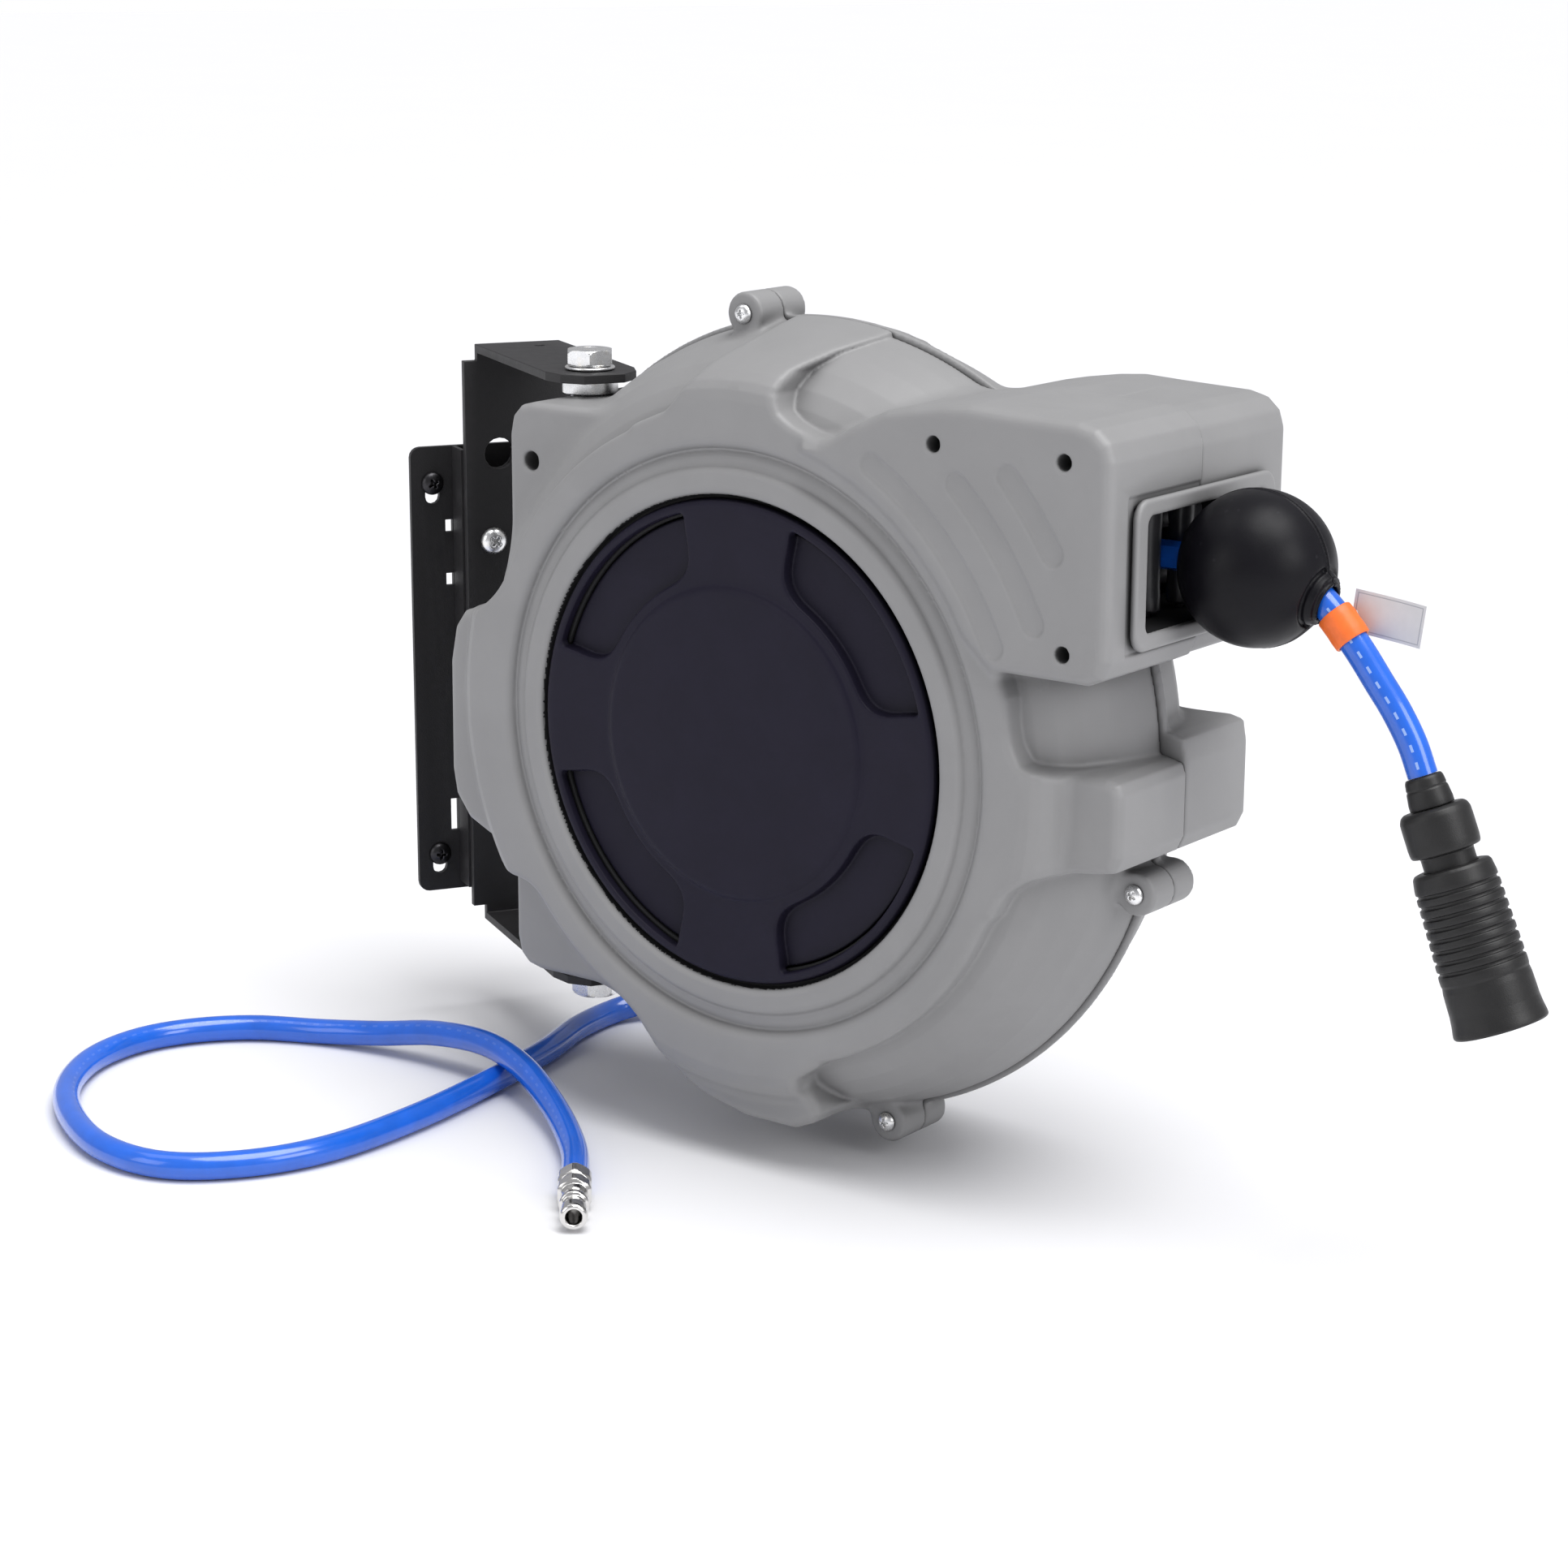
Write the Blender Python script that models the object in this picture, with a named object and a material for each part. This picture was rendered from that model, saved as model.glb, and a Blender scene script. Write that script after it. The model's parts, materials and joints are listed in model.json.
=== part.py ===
"""Retractable air-hose reel on a swivelling wall bracket.

Row frame: X points out of the wall, Z is up, and the origin is the middle of the
wall plate's back face.  The reel is drawn in its own frame, whose Y axis is the
drum axis, whose X axis points to the hose outlet and whose XZ plane at y = 0 is
the seam between the two casing halves.  Two empties carry that frame: one on the
bracket's pivot and one on the drum axis.
"""
import bpy
import bmesh
import math
from mathutils import Vector, Matrix

for ob in list(bpy.data.objects):
    bpy.data.objects.remove(ob, do_unlink=True)

# ------------------------------------------------------------ driving sizes (m)
GAP = 0.0003
PIVOT_X = 0.122            # pivot axis to wall
AXIS_Z = 0.018             # drum axis above the wall plate's middle
SWIVEL_REST = math.radians(30.0)
PIVOT_TO_DRUM = 0.1306
SURFACE_Z = -0.188         # surface that the supply hose lies on, reel frame

R_SEAM = 0.174             # casing radius at the seam
R_FACE = 0.152             # outer edge of the flat faces
Y_FACE = 0.063             # face distance from the seam
WALL = 0.0045
COVER_R = 0.105
BOX_X = 0.1865
BOX_Y = 0.068
BOX_TOP, BOX_BOTTOM = 0.1535, 0.050
MOUTH_Z = 0.092
MOUTH_HALF_W, MOUTH_HALF_H = 0.0485, 0.0265
BLOCK_X, BLOCK_Y, BLOCK_Z = -0.1475, 0.040, 0.130
BOSS_R = 0.1768             # seam screws from the drum axis

HOSE_R = 0.006
HOSE_Z = 0.092             # height of the outgoing hose = its wrap radius
BALL_R = 0.0315
BALL_X = 0.2126

HUB_R = 0.038
COIL_R = 0.0857
COIL_Y0, COIL_Y1 = -0.0200, 0.0430
FLANGE_R = 0.120
SHAFT_R = 0.008
TEETH = 24

EAR_TOP = 0.1405
EAR_T = 0.004
EAR_W = 0.042
BACK_D = 0.104             # pivot to the back of the swivel bracket
LOCK_Y = -0.0145            # lock screw, to the cover side of the middle
PLATE_W, PLATE_Z0, PLATE_Z1 = 0.098, -0.1285, 0.0905

# ------------------------------------------------------------ empties
def empty(name, loc, rz=0.0, parent=None):
    e = bpy.data.objects.new(name, None)
    bpy.context.scene.collection.objects.link(e)
    e.location = loc
    e.rotation_euler = (0, 0, rz)
    e.parent = parent
    return e

SWIVEL = empty("axis_swivel", (PIVOT_X, 0, AXIS_Z), SWIVEL_REST)
REEL = empty("axis_drum", (PIVOT_TO_DRUM, 0, 0), 0.0, SWIVEL)
BASE = empty("axis_wall", (PIVOT_X, 0, AXIS_Z))     # bracket pieces, x out of the wall

# ------------------------------------------------------------ materials
def material(name, rgb, rough, metal=0.0):
    m = bpy.data.materials.new(name)
    m.use_nodes = True
    b = m.node_tree.nodes["Principled BSDF"]
    b.inputs["Base Color"].default_value = (*rgb, 1)
    b.inputs["Roughness"].default_value = rough
    b.inputs["Metallic"].default_value = metal
    m.diffuse_color = (*rgb, 1)
    return m

M = {
    "casing": material("casing_grey", (0.27, 0.27, 0.28), 0.5),
    "cover": material("cover_navy", (0.018, 0.017, 0.028), 0.45),
    "black_steel": material("bracket_black", (0.012, 0.011, 0.012), 0.45),
    "zinc": material("zinc_plate", (0.62, 0.62, 0.60), 0.28, 1.0),
    "black_screw": material("black_screw", (0.03, 0.03, 0.032), 0.4, 1.0),
    "rubber": material("ball_rubber", (0.012, 0.012, 0.012), 0.55),
    "hose": material("hose_blue", (0.013, 0.14, 0.68), 0.3),
    "band": material("band_orange", (0.9, 0.2, 0.02), 0.5),
    "tag": material("tag_white", (0.85, 0.85, 0.83), 0.6),
    "boot": material("coupler_black", (0.02, 0.02, 0.02), 0.6),
    "nickel": material("nickel", (0.72, 0.71, 0.68), 0.2, 1.0),
    "brass": material("brass", (0.7, 0.5, 0.2), 0.3, 1.0),
    "steel": material("shaft_steel", (0.5, 0.5, 0.52), 0.35, 1.0),
    "spring": material("spring_steel", (0.25, 0.27, 0.32), 0.3, 1.0),
    "drum": material("drum_plastic", (0.04, 0.04, 0.045), 0.5),
    "roller": material("roller_plastic", (0.55, 0.55, 0.53), 0.45),
}

# ------------------------------------------------------------ mesh makers
def link(name, bm_or_mesh, mat, parent=None, loc=(0, 0, 0), rot=None, smooth=True):
    if isinstance(bm_or_mesh, bmesh.types.BMesh):
        me = bpy.data.meshes.new(name)
        bmesh.ops.recalc_face_normals(bm_or_mesh, faces=bm_or_mesh.faces)
        bm_or_mesh.to_mesh(me)
        bm_or_mesh.free()
    else:
        me = bm_or_mesh
    ob = bpy.data.objects.new(name, me)
    bpy.context.scene.collection.objects.link(ob)
    ob.parent = parent
    ob.location = loc
    if rot is not None:
        ob.rotation_euler = rot
    me.materials.clear()
    me.materials.append(M[mat])
    if smooth:
        me.shade_smooth()
        me.set_sharp_from_angle(angle=math.radians(32))
    return ob


def frame_of(axis):
    """two directions across an axis"""
    a = Vector(axis).normalized()
    if abs(a.z) > 0.9:
        u = Vector((1, 0, 0))
    elif abs(a.y) > 0.9:
        u = Vector((1, 0, 0))
    else:
        u = Vector((0, 1, 0))
    v = a.cross(u).normalized()
    u = v.cross(a).normalized()
    return a, u, v


def turned(profile, seg, axis=(0, 1, 0), at=(0, 0, 0), phase=0.0):
    """solid of revolution from an open profile of (radius, height) whose ends lie
    on the axis, or a ring from a closed profile with every radius above zero"""
    a, u, v = frame_of(axis)
    at = Vector(at)
    bm = bmesh.new()
    rings = []
    for r, h in profile:
        if r < 1e-7:
            rings.append([bm.verts.new(at + a * h)])
        else:
            rings.append([bm.verts.new(at + a * h + (u * math.cos(t) + v * math.sin(t)) * r)
                          for t in (phase + 2 * math.pi * k / seg for k in range(seg))])
    closed = all(len(r) > 1 for r in rings)
    pairs = list(zip(rings, rings[1:]))
    if closed:
        pairs.append((rings[-1], rings[0]))
    for p, q in pairs:
        for k in range(seg):
            n = (k + 1) % seg
            if len(p) == 1 and len(q) == 1:
                continue
            if len(p) == 1:
                bm.faces.new((p[0], q[k], q[n]))
            elif len(q) == 1:
                bm.faces.new((p[k], q[0], p[n]))
            else:
                bm.faces.new((p[k], q[k], q[n], p[n]))
    return bm


def rod(p0, p1, r, seg=16, r1=None):
    p0, p1 = Vector(p0), Vector(p1)
    h = (p1 - p0).length
    r1 = r if r1 is None else r1
    return turned([(0, 0), (r, 0), (r1, h), (0, h)], seg, p1 - p0, p0)


def pipe(p0, p1, r, ri, seg=20):
    p0, p1 = Vector(p0), Vector(p1)
    h = (p1 - p0).length
    return turned([(ri, 0), (r, 0), (r, h), (ri, h)], seg, p1 - p0, p0)


def hexagon(p0, p1, across, bore=0.0):
    """hexagonal bar, or a nut when it has a bore"""
    r = across / 2 / math.cos(math.pi / 6)
    p0, p1 = Vector(p0), Vector(p1)
    h = (p1 - p0).length
    if not bore:
        return turned([(0, 0), (r, 0), (r, h), (0, h)], 6, p1 - p0, p0)
    a, u, v = frame_of(p1 - p0)
    seg = 24
    bm = bmesh.new()
    rings = []
    for hh in (0, h):
        for inner in (False, True):
            ring = []
            for k in range(seg):
                t = 2 * math.pi * k / seg
                # the outer point lies on the hexagon's side in that direction
                rr = bore if inner else across / 2 / math.cos((t % (math.pi / 3)) - math.pi / 6)
                ring.append(bm.verts.new(p0 + a * hh + (u * math.cos(t) + v * math.sin(t)) * rr))
            rings.append(ring)
    o0, i0, o1, i1 = rings
    for k in range(seg):
        n = (k + 1) % seg
        bm.faces.new((o0[k], o0[n], o1[n], o1[k]))
        bm.faces.new((i0[n], i0[k], i1[k], i1[n]))
        bm.faces.new((o0[n], o0[k], i0[k], i0[n]))
        bm.faces.new((o1[k], o1[n], i1[n], i1[k]))
    return bm


def rounded(x0, x1, z0, z1, r, n=4):
    """outline of a rectangle with rounded corners; r may be four radii
    (right-top, left-top, left-bottom, right-bottom)"""
    rr = (r,) * 4 if isinstance(r, (int, float)) else r
    pts = []
    for (cx, cz, sx, sz, a0), q in zip(((x1, z1, -1, -1, 0), (x0, z1, 1, -1, 90),
                                        (x0, z0, 1, 1, 180), (x1, z0, -1, 1, 270)), rr):
        if q < 1e-6:
            pts.append((cx, cz))
            continue
        for k in range(n + 1):
            t = math.radians(a0 + 90 * k / n)
            pts.append((cx + sx * q + q * math.cos(t), cz + sz * q + q * math.sin(t)))
    return pts


def prism(outline, lo, hi, plane="xz"):
    """extrude an outline across the third axis from lo to hi"""
    bm = bmesh.new()

    def put(p, h):
        if plane == "xz":
            return (p[0], h, p[1])
        if plane == "yz":
            return (h, p[0], p[1])
        return (p[0], p[1], h)
    a = [bm.verts.new(put(p, lo)) for p in outline]
    b = [bm.verts.new(put(p, hi)) for p in outline]
    n = len(outline)
    for k in range(n):
        bm.faces.new((a[k], a[(k + 1) % n], b[(k + 1) % n], b[k]))
    bm.faces.new(list(reversed(a)))
    bm.faces.new(b)
    return bm


def block(x0, x1, y0, y1, z0, z1):
    return prism([(x0, z0), (x1, z0), (x1, z1), (x0, z1)], y0, y1)


def cut(ob, bm, op="DIFFERENCE"):
    """boolean with a temporary solid in the same local frame, applied at once"""
    tool = link("tool", bm, "steel", ob.parent, ob.location, smooth=False)
    tool.hide_render = True
    tool.display_type = "WIRE"
    tool.rotation_euler = ob.rotation_euler
    mod = ob.modifiers.new("cut", "BOOLEAN")
    mod.operation = op
    mod.solver = "EXACT"
    mod.object = tool
    bpy.context.view_layer.update()
    deps = bpy.context.evaluated_depsgraph_get()
    me = bpy.data.meshes.new_from_object(ob.evaluated_get(deps))
    ob.modifiers.clear()
    old = ob.data
    keep = list(old.materials)
    ob.data = me
    me.materials.clear()
    for m in keep:
        me.materials.append(m)
    for p in me.polygons:
        p.material_index = 0
    bpy.data.meshes.remove(old)
    bpy.data.objects.remove(tool, do_unlink=True)


def tidy(ob, angle=32):
    """weld stray slivers left by the cuts, then shade"""
    bm = bmesh.new()
    bm.from_mesh(ob.data)
    bmesh.ops.remove_doubles(bm, verts=bm.verts, dist=0.00002)
    bmesh.ops.dissolve_degenerate(bm, edges=bm.edges, dist=0.00001)
    bmesh.ops.recalc_face_normals(bm, faces=bm.faces)
    bm.to_mesh(ob.data)
    bm.free()
    ob.data.shade_smooth()
    ob.data.set_sharp_from_angle(angle=math.radians(angle))


def catmull(pts, step):
    """smooth curve through the points, sampled about every step metres"""
    P = [Vector(p) for p in pts]
    P = [P[0] * 2 - P[1]] + P + [P[-1] * 2 - P[-2]]
    fine = []
    for i in range(1, len(P) - 2):
        a, b, c, d = P[i - 1:i + 3]
        for k in range(24):
            t = k / 24
            fine.append(0.5 * ((2 * b) + (c - a) * t + (2 * a - 5 * b + 4 * c - d) * t * t
                               + (3 * b - a - 3 * c + d) * t ** 3))
    fine.append(P[-2])
    run = [0.0]
    for p, q in zip(fine, fine[1:]):
        run.append(run[-1] + (q - p).length)
    n = max(2, round(run[-1] / step))
    out, j = [], 0
    for k in range(n + 1):
        s = run[-1] * k / n
        while j < len(run) - 2 and run[j + 1] < s:
            j += 1
        f = (s - run[j]) / max(1e-9, run[j + 1] - run[j])
        out.append(fine[j].lerp(fine[j + 1], min(1, f)))
    return out, run[-1]


def tube(name, pts, r, mat, parent, res=3):
    cu = bpy.data.curves.new(name, "CURVE")
    cu.dimensions = "3D"
    cu.bevel_depth = r
    cu.bevel_resolution = res
    cu.use_fill_caps = True
    sp = cu.splines.new("POLY")
    sp.points.add(len(pts) - 1)
    for p, c in zip(sp.points, pts):
        p.co = (*c, 1)
    ob = bpy.data.objects.new(name, cu)
    bpy.context.scene.collection.objects.link(ob)
    ob.parent = parent
    cu.materials.append(M[mat])
    return ob


def swept(pts, r, seg=14):
    """closed tube mesh along points, for use as a tool"""
    bm = bmesh.new()
    rings = []
    side = None
    for i, p in enumerate(pts):
        d = (pts[min(i + 1, len(pts) - 1)] - pts[max(i - 1, 0)]).normalized()
        if side is None:
            side = d.cross(Vector((0, 1, 0))).normalized()
        side = (side - d * side.dot(d)).normalized()
        up = d.cross(side)
        rings.append([bm.verts.new(p + (side * math.cos(t) + up * math.sin(t)) * r)
                      for t in (2 * math.pi * k / seg for k in range(seg))])
    for p, q in zip(rings, rings[1:]):
        for k in range(seg):
            n = (k + 1) % seg
            bm.faces.new((p[k], p[n], q[n], q[k]))
    bm.faces.new(list(reversed(rings[0])))
    bm.faces.new(rings[-1])
    return bm


# =============================================================== wall bracket
# All in the BASE frame: x = 0 is the pivot axis, the wall is at x = -PIVOT_X.
wall_x = -PIVOT_X
z_off = -AXIS_Z            # the plate's sizes below are measured from the drum axis

plate = link("wall_plate", prism(rounded(-PLATE_W / 2, PLATE_W / 2, PLATE_Z0, PLATE_Z1, 0.005),
                                 wall_x, wall_x + 0.003, "yz"), "black_steel", BASE)
screw_z = (0.073, -0.110)
screw_y = 0.0385
for sy in (-screw_y, screw_y):
    for sz in screw_z:
        cut(plate, prism(rounded(sy - 0.0035, sy + 0.0035, sz - 0.010, sz + 0.005, 0.0034, 3),
                         wall_x - 0.01, wall_x + 0.01, "yz"))
for sz, hh in ((0.052, 0.003), (0.026, 0.003), (-0.091, 0.008)):
    for sy in (-0.0305, 0.0305):
        cut(plate, prism([(sy - 0.0018, sz - hh), (sy + 0.0018, sz - hh), (sy + 0.0018, sz + hh),
                          (sy - 0.0018, sz + hh)], wall_x - 0.01, wall_x + 0.01, "yz"))
tidy(plate)

# raised channel on the plate that the swivel bracket hangs on
c0 = wall_x + 0.003 + GAP
c1 = -BACK_D - GAP
chan = [(c0, -0.0285), (c1, -0.0285), (c1, 0.0285), (c0, 0.0285),
        (c0, 0.0265), (c1 - 0.002, 0.0265), (c1 - 0.002, -0.0265), (c0, -0.0265)]
channel = link("plate_channel", prism(chan, PLATE_Z0 + 0.004, PLATE_Z1, "xy"), "black_steel", BASE)
cut(channel, rod((c1 - 0.01, LOCK_Y, 0.047), (c1 + 0.01, LOCK_Y, 0.047), 0.0034, 14))
cut(channel, rod((c1 - 0.01, -0.0105, 0.0885), (c1 + 0.01, -0.0105, 0.0885), 0.0075, 16))
tidy(channel)

for i, (sy, sz) in enumerate([(a, b) for a in (-screw_y, screw_y) for b in screw_z]):
    x = wall_x + 0.003 + GAP
    bm = turned([(0, 0.0), (0.0031, 0.0), (0.0031, 0.003 + GAP), (0.0058, 0.003 + GAP),
                 (0.0056, 0.0050), (0.0040, 0.0062), (0.0, 0.0066)], 10, (1, 0, 0), (wall_x, sy, sz))
    s = link("wall_screw_%d" % (i + 1), bm, "black_screw", BASE)
    for w, h in ((0.0010, 0.0034), (0.0034, 0.0010)):
        cut(s, prism([(sy - w / 2 * 1.0, sz - h / 2), (sy + w / 2, sz - h / 2), (sy + w / 2, sz + h / 2),
                      (sy - w / 2, sz + h / 2)], x + 0.0022, x + 0.02, "yz"))
    tidy(s)

# swivel bracket: a bent strip, back plate wide, ears narrower, all one sheet
t = 0.004
e0, e1 = -EAR_TOP - 0.0005, EAR_TOP
strip = [(-BACK_D, e0), (0.030, e0), (0.030, e0 + t), (-BACK_D + t, e0 + t),
         (-BACK_D + t, e1 - t), (0.030, e1 - t), (0.030, e1), (-BACK_D, e1)]
bracket = link("swivel_bracket", prism(strip, -0.0275, 0.0275), "black_steel", BASE)
for s in (-1, 1):
    # narrower ears: trim both sides forward of the back plate, and its shoulders
    cut(bracket, block(-BACK_D + t + 0.0005, 0.05, s * 0.0385 - 0.0175, s * 0.0385 + 0.0175, -0.2, 0.2))
    for top in (-1, 1):
        cut(bracket, block(-BACK_D - 0.01, 0.05, s * 0.0385 - 0.0175, s * 0.0385 + 0.0175,
                           min(top * 0.133, top * 0.16), max(top * 0.133, top * 0.16)))
        # the ear's front is clipped to swing clear of the casing
        c = [(-0.0005, s * 0.0211), (0.0115, s * 0.0178), (0.0195, s * 0.0095), (0.0195, s * 0.0), (0.040, s * 0.0),
             (0.040, s * 0.03), (-0.0005, s * 0.03)]
        cut(bracket, prism(c if s > 0 else list(reversed(c)), top * 0.15 - 0.02, top * 0.15 + 0.02, "xy"))
for top in (-1, 1):
    cut(bracket, rod((0, 0, top * 0.12), (0, 0, top * 0.16), 0.0056, 18))
    cut(bracket, rod((-0.088, 0.006, top * 0.12), (-0.088, 0.006, top * 0.16), 0.0025, 10))
cut(bracket, rod((-BACK_D - 0.01, LOCK_Y, 0.047), (-BACK_D + 0.01, LOCK_Y, 0.047), 0.0034, 14))
cut(bracket, rod((-BACK_D - 0.01, -0.0105, 0.0885), (-BACK_D + 0.01, -0.0105, 0.0885), 0.0075, 16))
tidy(bracket)

# lock screw that keeps the swivel bracket on the channel
bm = turned([(0, -0.012), (0.0031, -0.012), (0.0031, t + GAP), (0.0068, t + GAP), (0.0068, t + 0.0022),
             (0.0050, t + 0.0042), (0, t + 0.0050)], 18, (1, 0, 0), (-BACK_D, LOCK_Y, 0.047))
lock = link("lock_screw", bm, "zinc", BASE)
for w, h in ((0.0012, 0.0044), (0.0044, 0.0012)):
    cut(lock, prism([(LOCK_Y - w / 2, 0.047 - h / 2), (LOCK_Y + w / 2, 0.047 - h / 2), (LOCK_Y + w / 2, 0.047 + h / 2),
                     (LOCK_Y - w / 2, 0.047 + h / 2)], -BACK_D + t + 0.0030, -BACK_D + 0.03, "yz"))
tidy(lock)

for s, nm in ((1, "top"), (-1, "bottom")):
    ztop = EAR_TOP if s > 0 else EAR_TOP + 0.0005
    a = ztop + GAP
    link("bolt_washer_" + nm, pipe((0, 0, s * a), (0, 0, s * (a + 0.0014)), 0.0112, 0.0054, 16), "zinc", BASE)
    b = a + 0.0014 + GAP
    # hexagon head with its shank down through the ear into the casing's bush
    ha = 0.0098
    rr = ha / math.cos(math.pi / 6)
    bolt = link("pivot_bolt_" + nm, rod((0, 0, s * 0.110), (0, 0, s * (b + 0.002)), 0.0046, 18), "zinc", BASE)
    cut(bolt, turned([(0, 0), (rr, 0), (rr, 0.0062), (rr * 0.9, 0.0074), (0, 0.0074)], 6, (0, 0, s),
                     (0, 0, s * b), math.radians(12)), "UNION")
    tidy(bolt, 20)
    # spacer washer between the ear and the casing block
    link("spacer_washer_" + nm, pipe((0, 0, s * (BLOCK_Z + GAP)), (0, 0, s * (ztop - EAR_T - GAP)),
                                     0.0125, 0.0052, 16), "zinc", BASE)

# =============================================================== casing halves
SEG = 44


def outer_profile(front):
    y = Y_FACE
    p = [(0, -0.0066), (R_SEAM, -0.0066), (R_SEAM, 0.001), (R_SEAM - 0.009, 0.036), (R_FACE + 0.006, 0.053),
         (R_FACE - 0.003, y)]
    p += [(0.1290, y), (0.1225, y - 0.0035), (0.1155, y + 0.0010), (0.1065, y + 0.0010)]
    if front:
        p += [(0.1055, y - 0.004), (0, y - 0.004)]
    else:
        p += [(0.102, y - 0.0030), (0, y - 0.0030)]
    return p


def casing_half(name, s):
    """s = -1 front half, +1 rear half; everything runs past the seam, and the
    seam plane is cut last"""
    front = s < 0
    ax = (0, s, 0)
    ob = link(name, turned(outer_profile(front), SEG, ax, phase=0.011), "casing", REEL)

    def span(depth, past):
        return (-depth, past) if front else (-past, depth)
    # outlet box
    r5 = rounded(0.10, BOX_X, BOX_BOTTOM, BOX_TOP, (0.012, 0, 0, 0.010), 3)
    arc = [(0.1102 * math.cos(math.radians(q)), 0.1102 * math.sin(math.radians(q))) for q in (76, 64, 52, 40, 28)]
    out = arc + [(0.120, BOX_BOTTOM)] + r5[-4:] + r5[:4] + \
        [(0.120, BOX_TOP + 0.0008), (0.099, 0.1515), (0.077, 0.1480), (0.055, 0.1363), (0.040, 0.1315)]
    cut(ob, prism(out, *span(BOX_Y, 0.0031)), "UNION")
    # mount block for the bracket
    out = rounded(BLOCK_X, -0.0603, -BLOCK_Z, BLOCK_Z, (0, 0.008, 0.008, 0), 2)
    cut(ob, prism(out, *span(BLOCK_Y, 0.0036)), "UNION")
    # side straps: one by the outlet, one opposite
    cut(ob, prism([(0.1103, 0.0124), (0.158, 0.0120), (0.178, 0.0128), (0.1835, 0.0080), (0.1835, -0.0220),
                   (0.1805, -0.0285), (0.160, -0.0307), (0.1109, -0.0301)], *span(0.0502, 0.0041)), "UNION")
    cut(ob, prism([(-0.1104, 0.0303), (-0.160, 0.028), (-0.170, 0.016), (-0.1735, -0.004),
                   (-0.1735, -0.040), (-0.160, -0.060), (-0.1107, -0.0608)], *span(0.0541, 0.0046)), "UNION")
    # foot rails under the casing
    cut(ob, prism([(-0.1051, -0.1003), (-0.075, -0.160), (-0.045, -0.1767), (0.030, -0.1767), (0.060, -0.145),
                   (0.0605, -0.1006)], *span(0.0537, 0.0051)), "UNION")
    # screw bosses on the seam
    for i, ang in enumerate((100, -15, -74)):
        c = Vector((math.cos(math.radians(ang)), 0, math.sin(math.radians(ang)))) * BOSS_R
        cut(ob, turned([(0, -0.0056 - 0.0004 * i), (0.0092, -0.0056 - 0.0004 * i), (0.0092, 0.016), (0, 0.016)],
                       12, ax, c, 0.13), "UNION")
    # hollow inside
    cut(ob, turned([(0, -0.0150), (R_SEAM - WALL - 0.002, -0.0150), (R_SEAM - WALL - 0.002, 0.004),
                    (R_SEAM - WALL - 0.008, 0.034), (R_FACE - 0.004, 0.0540), (0, 0.0540)],
                   SEG, ax, phase=0.011))
    cut(ob, prism([(0.05, 0.0907), (0.083, 0.068), (0.123, BOX_BOTTOM + WALL), (BOX_X - WALL, BOX_BOTTOM + WALL),
                   (BOX_X - WALL, BOX_TOP - WALL), (0.118, BOX_TOP - WALL), (0.099, 0.1465), (0.079, 0.1430),
                   (0.062, 0.1340)],
                  *span(BOX_Y - WALL, 0.0161)))
    # mouth
    a, b = span(MOUTH_HALF_W, 0.0172)
    cut(ob, block(BOX_X - 0.031, BOX_X + 0.03, a, b, MOUTH_Z - MOUTH_HALF_H, MOUTH_Z + MOUTH_HALF_H))
    # seats for the two pivot bushes in the block
    for k in (-1, 1):
        cut(ob, turned([(0, 0), (0.0093, 0), (0.0093, 0.05), (0, 0.05)], 18, (0, 0, k),
                       (-PIVOT_TO_DRUM, 0, k * 0.102), 0.07))
    # screw holes on the bosses
    for ang in (100, -15, -74):
        c = Vector((math.cos(math.radians(ang)), 0, math.sin(math.radians(ang)))) * BOSS_R
        cut(ob, turned([(0, -0.02), (0.0024, -0.02), (0.0024, 0.03 if front else 0.013),
                        (0, 0.03 if front else 0.013)], 8, ax, c, 0.21))
    if front:
        cut(ob, turned([(0, 0.04), (0.098, 0.04), (0.098, 0.08), (0, 0.08)], SEG, ax, phase=0.011))
        # moulded screw wells of the outlet box
        for hx, hz in ((0.104, 0.1378), (0.1652, 0.1366), (0.1662, 0.0620)):
            cut(ob, rod((hx, -BOX_Y - 0.01, hz), (hx, -BOX_Y + 0.003, hz), 0.0036, 8))
    else:
        cut(ob, rod((0, 0.04, 0), (0, 0.08, 0), SHAFT_R + GAP, 20))
    # the seam
    a, b = (-0.00015, 0.2) if front else (-0.2, 0.00015)
    cut(ob, block(-0.4, 0.4, a, b, -0.4, 0.4))
    tidy(ob, 30)
    return ob


front_shell = casing_half("front_shell", -1)
rear_shell = casing_half("rear_shell", 1)

# front cover: disc with a middle boss, four spokes and four lower fields
cov = link("front_cover", turned([(0, 0.0593), (0.1040, 0.0593), (0.1040, 0.0612), (0.1015, 0.0628), (0.0670, 0.0628),
                                  (0.0650, 0.0640), (0, 0.0640)], SEG, (0, -1, 0)), "cover", REEL)


def sector(r0, r1, a0, a1, n=5):
    pts = [(r1 * math.cos(t), r1 * math.sin(t)) for t in (math.radians(a0 + (a1 - a0) * k / n) for k in range(n + 1))]
    pts += [(r0 * math.cos(t), r0 * math.sin(t)) for t in (math.radians(a1 - (a1 - a0) * k / n) for k in range(n + 1))]
    return pts


for q in range(4):
    a0 = -12 + 90 * q + 16
    cut(cov, prism(sector(0.070, 0.100, a0 + 6, a0 + 58), -0.0700, -0.0608))
tidy(cov, 25)

# seam screws, one in each boss, from the front
for i, ang in enumerate((100, -15, -74)):
    c = Vector((math.cos(math.radians(ang)), 0, math.sin(math.radians(ang)))) * BOSS_R
    bm = turned([(0, -0.0115), (0.0021, -0.0115), (0.0021, 0.0163), (0.0044, 0.0163), (0.0042, 0.0184), (0, 0.0192)],
                14, (0, -1, 0), c)
    link("casing_screw_%d" % (i + 1), bm, "zinc", REEL)

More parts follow.
